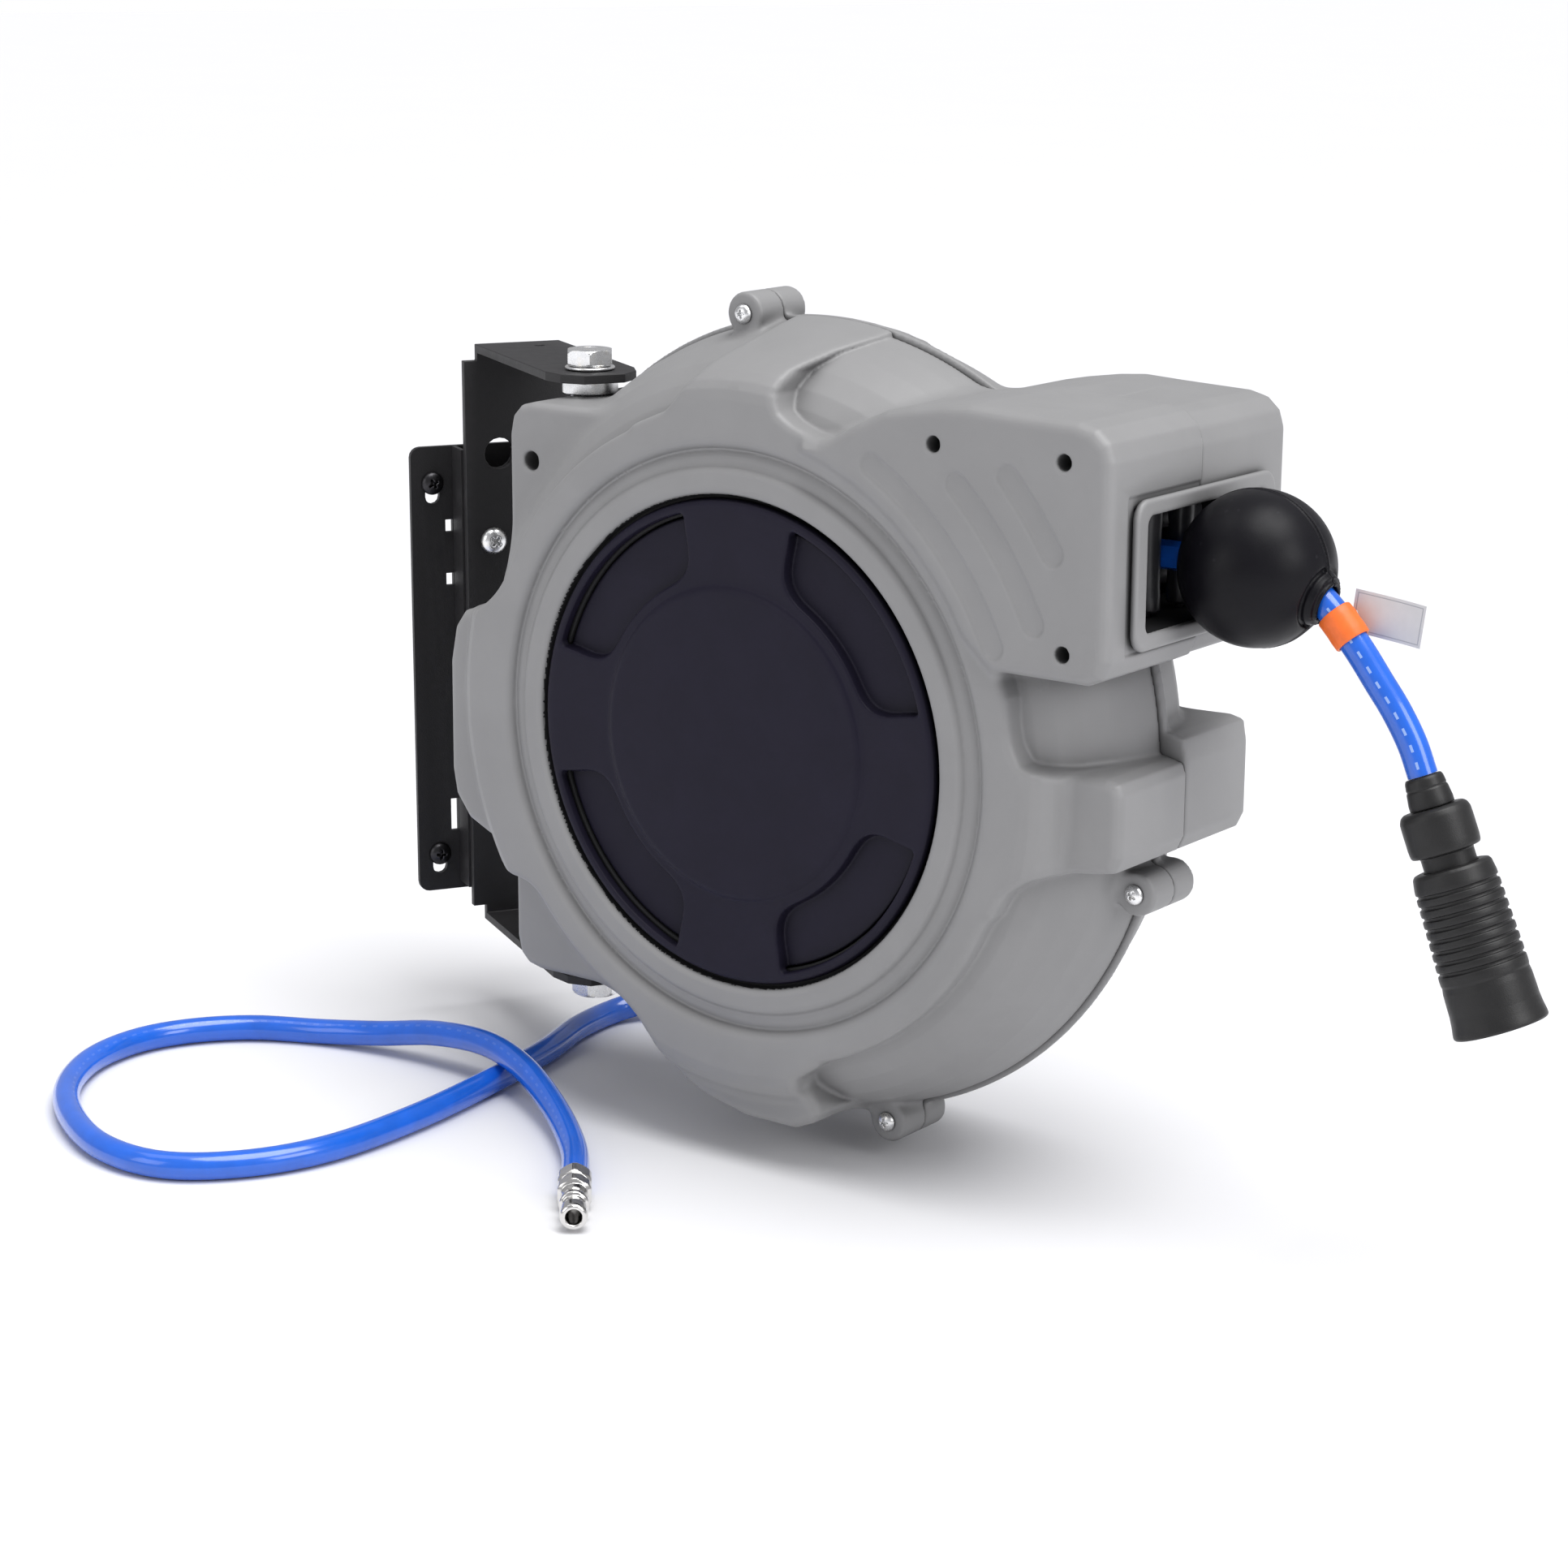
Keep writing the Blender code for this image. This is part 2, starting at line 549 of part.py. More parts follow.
# steel bushes in the block, bored for the pivot bolts
for s, nm in ((1, "top"), (-1, "bottom")):
    link("pivot_bush_" + nm, turned([(0, 0), (0.0088, 0), (0.0088, 0.0265), (0.0050, 0.0265), (0.0050, 0.005),
                                     (0, 0.005)], 20, (0, 0, s), (-PIVOT_TO_DRUM, 0, s * 0.1030)), "steel", REEL)

# =============================================================== drum and spring
link("drum_hub", pipe((0, COIL_Y0 - 0.0002, 0), (0, COIL_Y1 + 0.0002, 0), HUB_R - GAP, HUB_R - 0.004, 32), "drum", REEL)
for nm, y0, y1 in (("drum_flange_front", COIL_Y0 - 0.0040, COIL_Y0 - 0.0005),
                   ("drum_flange_rear", COIL_Y1 + 0.0005, COIL_Y1 + 0.0040)):
    link(nm, pipe((0, y0, 0), (0, y1, 0), FLANGE_R, 0.0125, 36), "drum", REEL)
link("hose_coil", pipe((0, COIL_Y0, 0), (0, COIL_Y1, 0), COIL_R, HUB_R, 36), "hose", REEL)
for nm, y0, y1 in (("bush_front", COIL_Y0 - 0.0042, COIL_Y0 + 0.006), ("bush_rear", COIL_Y1 - 0.006, COIL_Y1 + 0.0042)):
    link(nm, pipe((0, y0, 0), (0, y1, 0), 0.0122, SHAFT_R + GAP, 16), "brass", REEL)

# ratchet ring on the rear flange: saw teeth whose steep side holds against the spring
pts = []
for k in range(TEETH):
    a = 2 * math.pi * k / TEETH
    for r, da in ((0.0760, 0.0), (0.0705, 0.06), (0.0705, 0.28)):
        q = a + 2 * math.pi / TEETH * da
        pts.append((r * math.cos(q), r * math.sin(q)))
ry0 = COIL_Y1 + 0.0040 + GAP
ring = link("ratchet_ring", prism(pts, ry0, ry0 + 0.0035), "steel", REEL)
cut(ring, rod((0, ry0 - 0.01, 0), (0, ry0 + 0.01, 0), 0.060, 24))
tidy(ring, 20)

# spring case: a cup on the front flange, with its lid
sy = COIL_Y0 - 0.0040 - GAP
link("spring_case", turned([(0.0125, sy), (0.080, sy), (0.080, -0.0500), (0.0775, -0.0500),
                            (0.0775, sy - 0.0025), (0.0125, sy - 0.0025)], 32, (0, 1, 0)), "steel", REEL)
link("spring_lid", pipe((0, -0.0503, 0), (0, -0.0521, 0), 0.080, 0.0135, 32), "steel", REEL)
# arbor on the shaft inside the spring
link("spring_arbor", pipe((0, -0.0495, 0), (0, sy - 0.0030, 0), 0.0120, SHAFT_R + GAP, 16), "steel", REEL)
# spiral power spring: one thin band wound from the arbor to the case
turns, n = 5, 5 * 16
r_in, r_out, th = 0.0135, 0.0765, 0.0010
bm = bmesh.new()
rings = []
for k in range(n + 1):
    a = 2 * math.pi * turns * k / n
    r = r_in + (r_out - th - r_in) * k / n
    c, s = math.cos(a), math.sin(a)
    rings.append([bm.verts.new((rr * c, yy, rr * s)) for rr, yy in
                  ((r, -0.0485), (r + th, -0.0485), (r + th, -0.0285), (r, -0.0285))])
for p, q in zip(rings, rings[1:]):
    for j in range(4):
        m = (j + 1) % 4
        bm.faces.new((p[j], p[m], q[m], q[j]))
bm.faces.new(list(reversed(rings[0])))
bm.faces.new(rings[-1])
link("mainspring", bm, "spring", REEL)

# =============================================================== shaft and inlet
shaft = link("main_shaft", turned([(0, -0.0530), (SHAFT_R, -0.0530), (SHAFT_R, 0.0710), (0.0042, 0.0710),
                                   (0.0042, 0.010), (0, 0.010)], 18, (0, 1, 0)), "brass", REEL)
link("shaft_nut", hexagon((0, 0.0603, 0), (0, 0.0668, 0), 0.026, SHAFT_R + GAP), "nickel", REEL)
EL = Vector((0, 0.0795, 0))
dirn = Vector((-0.62, 0.06, -0.78)).normalized()
elbow = link("inlet_elbow", turned([(0, 0.0713), (0.0086, 0.0713), (0.0086, 0.0835), (0.0070, 0.0870), (0, 0.0878)],
                                   20, (0, 1, 0)), "nickel", REEL)
cut(elbow, rod(EL + dirn * 0.001, EL + dirn * 0.0200, 0.0072, 18), "UNION")
cut(elbow, rod(EL + dirn * 0.008, EL + dirn * 0.0300, 0.0040, 12))
cut(elbow, rod((0, 0.066, 0), (0, 0.0800, 0), 0.0040, 12))
tidy(elbow)
link("inlet_nut", hexagon(EL + dirn * 0.0203, EL + dirn * 0.0300, 0.0155, HOSE_R + GAP), "nickel", REEL)

# supply hose: down from the elbow, then one wide loop on the surface
ZS = SURFACE_Z + HOSE_R + 0.0002
s0 = EL + dirn * 0.0210
route = [s0, s0 + dirn * 0.022, s0 + dirn * 0.046,
         (-0.085, 0.0900, -0.118), (-0.120, 0.0905, -0.153), (-0.150, 0.082, -0.174), (-0.168, 0.058, ZS),
         (-0.165, 0.026, ZS), (-0.154, -0.010, ZS), (-0.1448, -0.0606, ZS), (-0.139, -0.115, ZS),
         (-0.141, -0.166, ZS), (-0.156, -0.202, ZS), (-0.183, -0.225, ZS), (-0.219, -0.226, ZS),
         (-0.258, -0.209, ZS), (-0.290, -0.184, ZS), (-0.311, -0.152, ZS), (-0.3165, -0.120, ZS),
         (-0.308, -0.093, ZS), (-0.288, -0.070, ZS), (-0.258, -0.054, ZS), (-0.226, -0.046, ZS + 0.0035),
         (-0.192, -0.044, ZS + 0.0100), (-0.157, -0.047, ZS + 0.0128), (-0.124, -0.058, ZS + 0.0105),
         (-0.088, -0.078, ZS + 0.0045), (-0.055, -0.104, ZS + 0.001), (-0.031, -0.131, ZS)]
hp, hose_len = catmull(route, 0.0215)
tube("inlet_hose", hp, HOSE_R, "hose", REEL, 2)
pd = (hp[-1] - hp[-2]).normalized()
pd.z = 0
pd.normalize()
pe = hp[-1].copy()
# quick plug on the supply hose's free end: union nut and nipple, laid on the surface
nut0 = pe + pd * 0.0003
link("plug_nut", turned([(0, 0), (0.0074, 0), (0.0078, 0.0006), (0.0078, 0.0094), (0.0070, 0.0105), (0, 0.0105)], 6, pd,
                        nut0 + Vector((0, 0, 0.0012))), "nickel", REEL)
nip0 = nut0 + pd * 0.0108 + Vector((0, 0, 0.0012))
plug = link("plug_nipple", turned([(0, 0), (0.0062, 0), (0.0062, 0.0020), (0.0078, 0.0022), (0.0078, 0.0090),
                                   (0.0060, 0.0095), (0.0050, 0.0120), (0.0050, 0.0170), (0.0064, 0.0180),
                                   (0.0064, 0.0205), (0.0048, 0.0215), (0.0048, 0.0270), (0.0060, 0.0275),
                                   (0.0058, 0.0330), (0.0050, 0.0345), (0.0032, 0.0345), (0.0032, 0.0060),
                                   (0, 0.0060)], 12, pd, nip0), "nickel", REEL)

# =============================================================== pawl
PV = Vector((0.0316, 0, 0.0838))
py0 = ry0
link("pawl_pin", rod(PV + Vector((0, py0 + 0.0002, 0)), PV + Vector((0, 0.0538, 0)), 0.0022, 12), "steel", REEL)
# lever outline about the pin; it stands one lift angle clear of the teeth at rest
root_a = math.radians(47.2)
seat = Vector((0.0716 * math.cos(root_a), 0, 0.0716 * math.sin(root_a))) - PV
lift = math.radians(12.0)
L = seat.length
d = seat.normalized()
side = Vector((-d.z, 0, d.x))
d = (d * math.cos(lift) + side * math.sin(lift)).normalized()
nrm = Vector((-d.z, 0, d.x))
out = [(d * -0.006 + nrm * 0.0030), (d * -0.006 - nrm * 0.0030), (d * (L * 0.5) - nrm * 0.0020),
       (d * L - nrm * 0.0005), (d * L + nrm * 0.0007), (d * (L * 0.55) + nrm * 0.0030)]
pawl = link("pawl", prism([(p.x, p.z) for p in out], py0 + 0.0004, py0 + 0.0034), "steel", REEL, PV)
cut(pawl, rod((0, -0.1, 0), (0, 0.1, 0), 0.0025, 12))
tidy(pawl, 20)
# torsion spring of the pawl: a small coil round the pin, drawn as a sleeve with its leg
link("pawl_spring", pipe(PV + Vector((0, py0 + 0.0037, 0)), PV + Vector((0, 0.0533, 0)), 0.0040, 0.0025, 14), "spring", REEL)

# =============================================================== mouth frame and rollers
fx0, fx1 = 0.150, BOX_X - 0.0003
mf = link("mouth_frame", prism(rounded(-0.0481, 0.0481, MOUTH_Z - 0.0261, MOUTH_Z + 0.0261, 0.004, 2), fx0, BOX_X + 0.0035, "yz"),
          "casing", REEL)
cut(mf, prism(rounded(-0.0446, 0.0446, MOUTH_Z - 0.0233, MOUTH_Z + 0.0233, 0.004, 2), fx0 - 0.01, BOX_X + 0.01, "yz"))
# outside lip of the mouth
cut(mf, prism(rounded(-0.0525, 0.0525, MOUTH_Z - 0.0300, MOUTH_Z + 0.0300, 0.006, 3), BOX_X + 0.0003, BOX_X + 0.0035, "yz"), "UNION")
cut(mf, prism(rounded(-0.0446, 0.0446, MOUTH_Z - 0.0233, MOUTH_Z + 0.0233, 0.004, 2), fx0 - 0.01, BOX_X + 0.02, "yz"))
# pin holes: two upright rollers and two level rollers
RV_X, RV_Y = 0.1700, 0.0125
RH_X, RH_Z = 0.1565, 0.0115
for k in (-1, 1):
    cut(mf, rod((RV_X, k * RV_Y, MOUTH_Z - 0.05), (RV_X, k * RV_Y, MOUTH_Z + 0.05), 0.0018, 8))
    cut(mf, rod((RH_X, -0.07, HOSE_Z + k * RH_Z), (RH_X, 0.07, HOSE_Z + k * RH_Z), 0.0018, 8))
tidy(mf)
# each roller is moulded with its own trunnions, which turn in the frame
for k, nm in ((-1, "left"), (1, "right")):
    link("guide_roller_" + nm, turned([(0, -0.0256), (0.0015, -0.0256), (0.0015, -0.0216), (0.0055, -0.0175),
                                       (0.0055, 0.0216), (0.0015, 0.0216),
                                       (0.0015, 0.0256), (0, 0.0256)], 14, (0, 0, 1)), "roller", REEL,
         (RV_X, k * RV_Y, MOUTH_Z))
for k, nm in ((-1, "lower"), (1, "upper")):
    link("guide_roller_" + nm, turned([(0, -0.0476), (0.0015, -0.0476), (0.0015, -0.0436), (0.0050, -0.0436),
                                       (0.0050, 0.0436), (0.0015, 0.0436),
                                       (0.0015, 0.0476), (0, 0.0476)], 14, (0, 1, 0)), "roller", REEL,
         (RH_X, 0, HOSE_Z + k * RH_Z))

# =============================================================== outgoing hose, ball and coupler
run_end = 0.2150
rp = [Vector((0.0005 + (run_end - 0.0005) * k / 12, 0, HOSE_Z)) for k in range(13)]
tube("hose_run", rp, HOSE_R, "hose", REEL, 2)
tail = [(run_end + 0.0004, 0, HOSE_Z), (0.2215, 0, HOSE_Z - 0.0001), (0.2300, 0, 0.0896), (0.2390, 0, 0.0845),
        (0.2470, 0, 0.0778), (0.2535, 0, 0.0708), (0.2605, 0, 0.0628), (0.2680, 0, 0.0532), (0.2760, 0, 0.0430),
        (0.2834, 0, 0.0312), (0.2885, 0, 0.0195)]
tp, tail_len = catmull(tail, 0.0070)
tube("hose_tail", tp, HOSE_R, "hose", REEL, 2)
td = (tp[-1] - tp[-2]).normalized()

# the two halves of the ball, clamped round the hose; its bore follows the hose
BC = Vector((BALL_X, 0, HOSE_Z - 0.0007))
bore = [Vector((0.15, 0, HOSE_Z))] + [Vector((x, 0, HOSE_Z)) for x in (0.18, 0.20, 0.214)] + tp[1:7]
tilt = math.radians(-17)
axis_b = Vector((math.cos(tilt), 0, math.sin(tilt)))
for s, nm in ((-1, "front"), (1, "rear")):
    nlat = 10
    prof = [(BALL_R * math.sin(math.pi * k / nlat), -BALL_R * math.cos(math.pi * k / nlat)) for k in range(nlat + 1)]
    prof[0] = (0, -BALL_R)
    prof[-1] = (0, BALL_R)
    half = link("ball_half_" + nm, turned(prof, 20, axis_b, BC), "rubber", REEL)
    # collar where the hose leaves
    cut(half, rod(BC + axis_b * (BALL_R - 0.006), BC + axis_b * (BALL_R + 0.0012), 0.0092, 14), "UNION")
    cut(half, block(BALL_X - 0.06, BALL_X + 0.06, *( (-0.00015, 0.06) if s < 0 else (-0.06, 0.00015)), 0.0, 0.2))
    cut(half, swept([Vector(p) for p in bore], HOSE_R + 0.0006, 10))
    # two screw holes across the halves, headed on the rear side
    for k in (-1, 1):
        c = BC + Vector((0, 0, k * 0.0185)) + Vector((-0.002, 0, 0))
        cut(half, rod(c + Vector((0, -0.0190, 0)), c + Vector((0, 0.05, 0)), 0.0022, 8))
        if s > 0:
            cut(half, rod(c + Vector((0, 0.012, 0)), c + Vector((0, 0.05, 0)), 0.0039, 10))
    tidy(half, 35)
for k, nm in ((-1, "lower"), (1, "upper")):
    c = BC + Vector((0, 0, k * 0.0185)) + Vector((-0.002, 0, 0))
    link("ball_screw_" + nm, turned([(0, -0.0180), (0.0018, -0.0180), (0.0018, 0.0123), (0.0034, 0.0123),
                                     (0.0034, 0.0142), (0, 0.0148)], 12, (0, 1, 0), c), "zinc", REEL)

# marker band round the hose just past the ball, and its blank tag
k0 = min(range(len(tp)), key=lambda i: (tp[i] - Vector((0.2520, 0, 0.0726))).length)
bd = (tp[k0 + 1] - tp[k0 - 1]).normalized()
bc = tp[k0]
link("marker_band", pipe(bc - bd * 0.0066, bc + bd * 0.0066, HOSE_R + 0.0015, HOSE_R + 0.0006, 20), "band", REEL)
tag_o = bc + Vector((-0.0010, 0.0086, 0.0060))
tag = link("hose_tag", block(0.0, 0.0300, -0.00025, 0.00025, -0.0085, 0.0085), "tag", REEL, tag_o,
           (0, math.radians(7), 0))

# coupler at the hose's free end, along the hose's last direction
CE = tp[-1]
CD = td
c0 = CE + CD * 0.0004


def along(d):
    return c0 + CD * d


link("coupler_neck", turned([(0.0, 0.0), (0.0072, 0.0), (0.0078, 0.0015), (0.0088, 0.0100), (0.0088, 0.0122), (0, 0.0122)],
                            20, CD, c0), "boot", REEL)
# collar screwed on the core; its lower sleeve runs inside the grip
link("coupler_collar", turned([(0.0, 0.0125), (0.0125, 0.0125), (0.0140, 0.0145), (0.0142, 0.0290), (0.0138, 0.0300),
                               (0.0105, 0.0300), (0.0105, 0.0480), (0.0, 0.0480)], 24, CD, c0), "boot", REEL)
link("coupler_core", turned([(0.0, 0.0483), (0.0105, 0.0483), (0.0105, 0.0760), (0.0095, 0.0780), (0.0060, 0.0780),
                             (0.0060, 0.0560), (0.0, 0.0560)], 24, CD, c0), "nickel", REEL)
gp = [(0.0110, 0.0360), (0.0152, 0.0360), (0.0165, 0.0400), (0.0178, 0.0900), (0.0186, 0.1000),
      (0.0178, 0.1010), (0.0160, 0.1000), (0.0150, 0.0840), (0.0110, 0.0820)]
link("coupler_grip", turned(gp, 24, CD, c0), "boot", REEL)
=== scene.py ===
import json
import math

import bmesh
import bpy
import numpy as np
import openvdb as vdb
from mathutils import Matrix, Vector


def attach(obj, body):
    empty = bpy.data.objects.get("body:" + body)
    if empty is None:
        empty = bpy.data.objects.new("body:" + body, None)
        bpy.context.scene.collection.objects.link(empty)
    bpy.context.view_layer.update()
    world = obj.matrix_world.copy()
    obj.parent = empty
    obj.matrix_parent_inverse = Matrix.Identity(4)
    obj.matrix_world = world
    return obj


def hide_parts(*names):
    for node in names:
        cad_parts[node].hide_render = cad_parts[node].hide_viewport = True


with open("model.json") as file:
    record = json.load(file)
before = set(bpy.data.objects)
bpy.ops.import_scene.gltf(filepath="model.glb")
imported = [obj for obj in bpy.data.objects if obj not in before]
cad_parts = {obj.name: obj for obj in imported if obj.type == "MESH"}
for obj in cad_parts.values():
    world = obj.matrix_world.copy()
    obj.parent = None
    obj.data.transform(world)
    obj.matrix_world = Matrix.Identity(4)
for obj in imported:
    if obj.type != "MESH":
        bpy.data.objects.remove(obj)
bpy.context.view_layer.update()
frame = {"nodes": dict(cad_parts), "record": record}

# ------------------------------------------------------------------ frames
TH = math.radians(30.0)
M_REEL = (Matrix.Translation((0.122, 0, 0.018)) @ Matrix.Rotation(TH, 4, "Z")
          @ Matrix.Translation((0.1306, 0, 0)))          # drum axis = Y, outlet = +X
M_BASE = Matrix.Translation((0.122, 0, 0.018))           # pivot axis, out of the wall = +X
FLOOR_Z = -0.170


def R(*p):
    """a point of the reel frame in the row frame"""
    return M_REEL @ Vector(p if len(p) == 3 else p[0])


# ------------------------------------------------------------------ camera, stage, lights
scene = bpy.context.scene
cam_data = bpy.data.cameras.new("camera")
cam = bpy.data.objects.new("camera", cam_data)
scene.collection.objects.link(cam)
cam_data.lens, cam_data.sensor_width = 80.80, 36.0
cam_data.clip_start, cam_data.clip_end = 0.05, 30.0
az, el, roll = math.radians(67.487), math.radians(14.337), math.radians(0.209)
right = Vector((math.cos(az), math.sin(az), 0))
fwd = Vector((-math.sin(az) * math.cos(el), math.cos(az) * math.cos(el), -math.sin(el)))
up = right.cross(fwd)
r2 = right * math.cos(roll) + up * math.sin(roll)
u2 = -right * math.sin(roll) + up * math.cos(roll)
rot = Matrix((r2, u2, -fwd)).transposed()
cam.matrix_world = Matrix.Translation((1.6021, -0.5191, 0.3682)) @ rot.to_4x4()
scene.camera = cam
scene.view_settings.view_transform = "Standard"
scene.view_settings.look = "None"

world = bpy.data.worlds.new("studio")
scene.world = world
world.use_nodes = True
wn = world.node_tree
bg = wn.nodes["Background"]
bg.inputs["Color"].default_value = (0.955, 0.955, 0.99, 1)
bg.inputs["Strength"].default_value = 0.44
bg_cam = wn.nodes.new("ShaderNodeBackground")
bg_cam.inputs["Color"].default_value = (1.0, 1.0, 1.0, 1)
bg_cam.inputs["Strength"].default_value = 1.0
lp = wn.nodes.new("ShaderNodeLightPath")
wmix = wn.nodes.new("ShaderNodeMixShader")
wn.links.new(lp.outputs["Is Camera Ray"], wmix.inputs[0])
wn.links.new(bg.outputs[0], wmix.inputs[1])
wn.links.new(bg_cam.outputs[0], wmix.inputs[2])
wn.links.new(wmix.outputs[0], wn.nodes["World Output"].inputs["Surface"])


def area(name, loc, target, size, power, color=(1, 1, 1), size_y=None):
    l = bpy.data.lights.new(name, "AREA")
    l.shape = "RECTANGLE"
    l.size, l.size_y = size, size_y or size
    l.energy, l.color = power, color
    o = bpy.data.objects.new(name, l)
    scene.collection.objects.link(o)
    o.location = loc
    o.rotation_euler = (Vector(target) - Vector(loc)).to_track_quat("-Z", "Y").to_euler()
    return o


CENTRE = Vector((0.24, 0.05, 0.0))
area("key", CENTRE + Vector((-0.45, -0.75, 1.50)), CENTRE, 0.9, 3.0)
area("fill", CENTRE + Vector((1.7, 0.8, 0.9)), CENTRE, 0.9, 12.5, (1.0, 1.0, 1.0))
area("side", CENTRE + Vector((0.3, -1.9, 0.7)), CENTRE, 1.0, 6.0, (1.0, 1.0, 1.0))
sun_d = bpy.data.lights.new("overhead", "SUN")
sun_d.energy, sun_d.angle = 3.05, math.radians(46)
sun_o = bpy.data.objects.new("overhead", sun_d)
scene.collection.objects.link(sun_o)
sun_o.rotation_euler = Vector((-0.26, -0.16, -1.0)).to_track_quat("-Z", "Y").to_euler()


# ------------------------------------------------------------------ materials
def material(name, color, rough=0.5, metal=0.0, vary=0.06, vary_scale=60.0, grain=0.0, grain_scale=2500.0,
             wave=0.0, wave_scale=25.0, rough_vary=0.06, coat=0.0, coat_rough=0.1, spec=0.5, ior=None,
             sheen=0.0, edge=0.0, dust=0.0, scratches=0.0, sub=0.0, tint=None, crease_shade=0.0, reach=0.02):
    """moulded, painted or metal surface: colour drift, roughness drift, grain bump"""
    m = bpy.data.materials.new(name)
    m.use_nodes = True
    nt = m.node_tree
    N, L = nt.nodes, nt.links
    b = N["Principled BSDF"]
    b.inputs["Metallic"].default_value = metal
    b.inputs["Specular IOR Level"].default_value = spec
    if ior:
        b.inputs["IOR"].default_value = ior
    if coat:
        b.inputs["Coat Weight"].default_value = coat
        b.inputs["Coat Roughness"].default_value = coat_rough
    if sheen:
        b.inputs["Sheen Weight"].default_value = sheen
        b.inputs["Sheen Roughness"].default_value = 0.5
    if sub:
        b.inputs["Subsurface Weight"].default_value = sub
        b.inputs["Subsurface Radius"].default_value = (0.3, 0.5, 1.0)
        b.inputs["Subsurface Scale"].default_value = 0.002
    tc = N.new("ShaderNodeTexCoord")

    def noise(scale, detail=3.0, rough=0.5, distort=0.0):
        n = N.new("ShaderNodeTexNoise")
        n.inputs["Scale"].default_value = scale
        n.inputs["Detail"].default_value = detail
        n.inputs["Roughness"].default_value = rough
        n.inputs["Distortion"].default_value = distort
        L.new(tc.outputs["Object"], n.inputs["Vector"])
        return n

    def ramp(src, stops):
        r = N.new("ShaderNodeValToRGB")
        e = r.color_ramp.elements
        e[0].position, e[0].color = stops[0][0], (*stops[0][1], 1)
        e[1].position, e[1].color = stops[-1][0], (*stops[-1][1], 1)
        for p, c in stops[1:-1]:
            x = e.new(p)
            x.color = (*c, 1)
        L.new(src, r.inputs["Fac"])
        return r
    c = Vector(color)
    lo = tuple(max(0.0, v * (1 - vary)) for v in c)
    hi = tuple(min(1.0, v * (1 + vary)) for v in c)
    if tint:
        hi = tuple(min(1.0, a * 0.6 + t * 0.4) for a, t in zip(hi, tint))
    n1 = noise(vary_scale, 4.0, 0.6, 0.3)
    col = ramp(n1.outputs["Fac"], [(0.30, lo), (0.52, tuple(c)), (0.75, hi)])
    out = col.outputs["Color"]
    if edge:
        # painted highlight: convex edges (high Pointiness) get a lighter base colour, broken up by fine noise
        geo = N.new("ShaderNodeNewGeometry")
        mr = N.new("ShaderNodeMapRange")
        mr.inputs["From Min"].default_value = 0.505
        mr.inputs["From Max"].default_value = 0.60
        L.new(geo.outputs["Pointiness"], mr.inputs["Value"])
        mx = N.new("ShaderNodeMix")
        mx.data_type = "RGBA"
        mx.inputs[7].default_value = (*[min(1, v * (1 + edge) + 0.01) for v in c], 1)
        mul = N.new("ShaderNodeMath")
        mul.operation = "MULTIPLY"
        n5 = noise(220.0, 5.0, 0.7)
        L.new(mr.outputs["Result"], mul.inputs[0])
        L.new(n5.outputs["Fac"], mul.inputs[1])
        L.new(mul.outputs["Value"], mx.inputs[0])
        L.new(out, mx.inputs[6])
        out = mx.outputs[2]
    if dust:
        n4 = noise(900.0, 6.0, 0.75)
        r4 = ramp(n4.outputs["Fac"], [(0.62, (0, 0, 0)), (0.80, (dust, dust, dust))])
        mx = N.new("ShaderNodeMix")
        mx.data_type = "RGBA"
        mx.inputs[7].default_value = (*[min(1, v * 1.6 + 0.04) for v in c], 1)
        L.new(r4.outputs["Color"], mx.inputs[0])
        L.new(out, mx.inputs[6])
        out = mx.outputs[2]
    if crease_shade:
        # painted shade: creases and pockets get a darker base colour wherever the AO node finds close geometry
        ao = N.new("ShaderNodeAmbientOcclusion")
        ao.samples = 6
        ao.inputs["Distance"].default_value = reach
        ao.only_local = False
        ra = ramp(ao.outputs["AO"], [(0.18, (1 - crease_shade,) * 3), (0.50, (1 - crease_shade * 0.52,) * 3), (0.86, (1, 1, 1))])
        mh = N.new("ShaderNodeMix")
        mh.data_type = "RGBA"
        mh.blend_type = "MULTIPLY"
        mh.inputs[0].default_value = 1.0
        L.new(out, mh.inputs[6])
        L.new(ra.outputs["Color"], mh.inputs[7])
        out = mh.outputs[2]
    L.new(out, b.inputs["Base Color"])
    n2 = noise(vary_scale * 2.3, 5.0, 0.65)
    mr = N.new("ShaderNodeMapRange")
    mr.inputs["To Min"].default_value = max(0.03, rough - rough_vary)
    mr.inputs["To Max"].default_value = min(1.0, rough + rough_vary)
    L.new(n2.outputs["Fac"], mr.inputs["Value"])
    rout = mr.outputs["Result"]
    L.new(rout, b.inputs["Roughness"])
    last = None
    if grain:
        g = noise(grain_scale, 2.0, 0.6)
        bp = N.new("ShaderNodeBump")
        bp.inputs["Strength"].default_value = grain
        bp.inputs["Distance"].default_value = 0.0003
        L.new(g.outputs["Fac"], bp.inputs["Height"])
        last = bp
    if wave:
        g = noise(wave_scale, 2.0, 0.5)
        bp = N.new("ShaderNodeBump")
        bp.inputs["Strength"].default_value = wave
        bp.inputs["Distance"].default_value = 0.002
        L.new(g.outputs["Fac"], bp.inputs["Height"])
        if last:
            L.new(last.outputs["Normal"], bp.inputs["Normal"])
        last = bp
    if scratches:
        s = N.new("ShaderNodeTexNoise")
        mp = N.new("ShaderNodeMapping")
        mp.inputs["Scale"].default_value = (3000.0, 3000.0, 160.0)
        L.new(tc.outputs["Object"], mp.inputs["Vector"])
        L.new(mp.outputs["Vector"], s.inputs["Vector"])
        s.inputs["Scale"].default_value = 1.0
        s.inputs["Detail"].default_value = 2.0
        bp = N.new("ShaderNodeBump")
        bp.inputs["Strength"].default_value = scratches
        bp.inputs["Distance"].default_value = 0.0002
        L.new(s.outputs["Fac"], bp.inputs["Height"])
        if last:
            L.new(last.outputs["Normal"], bp.inputs["Normal"])
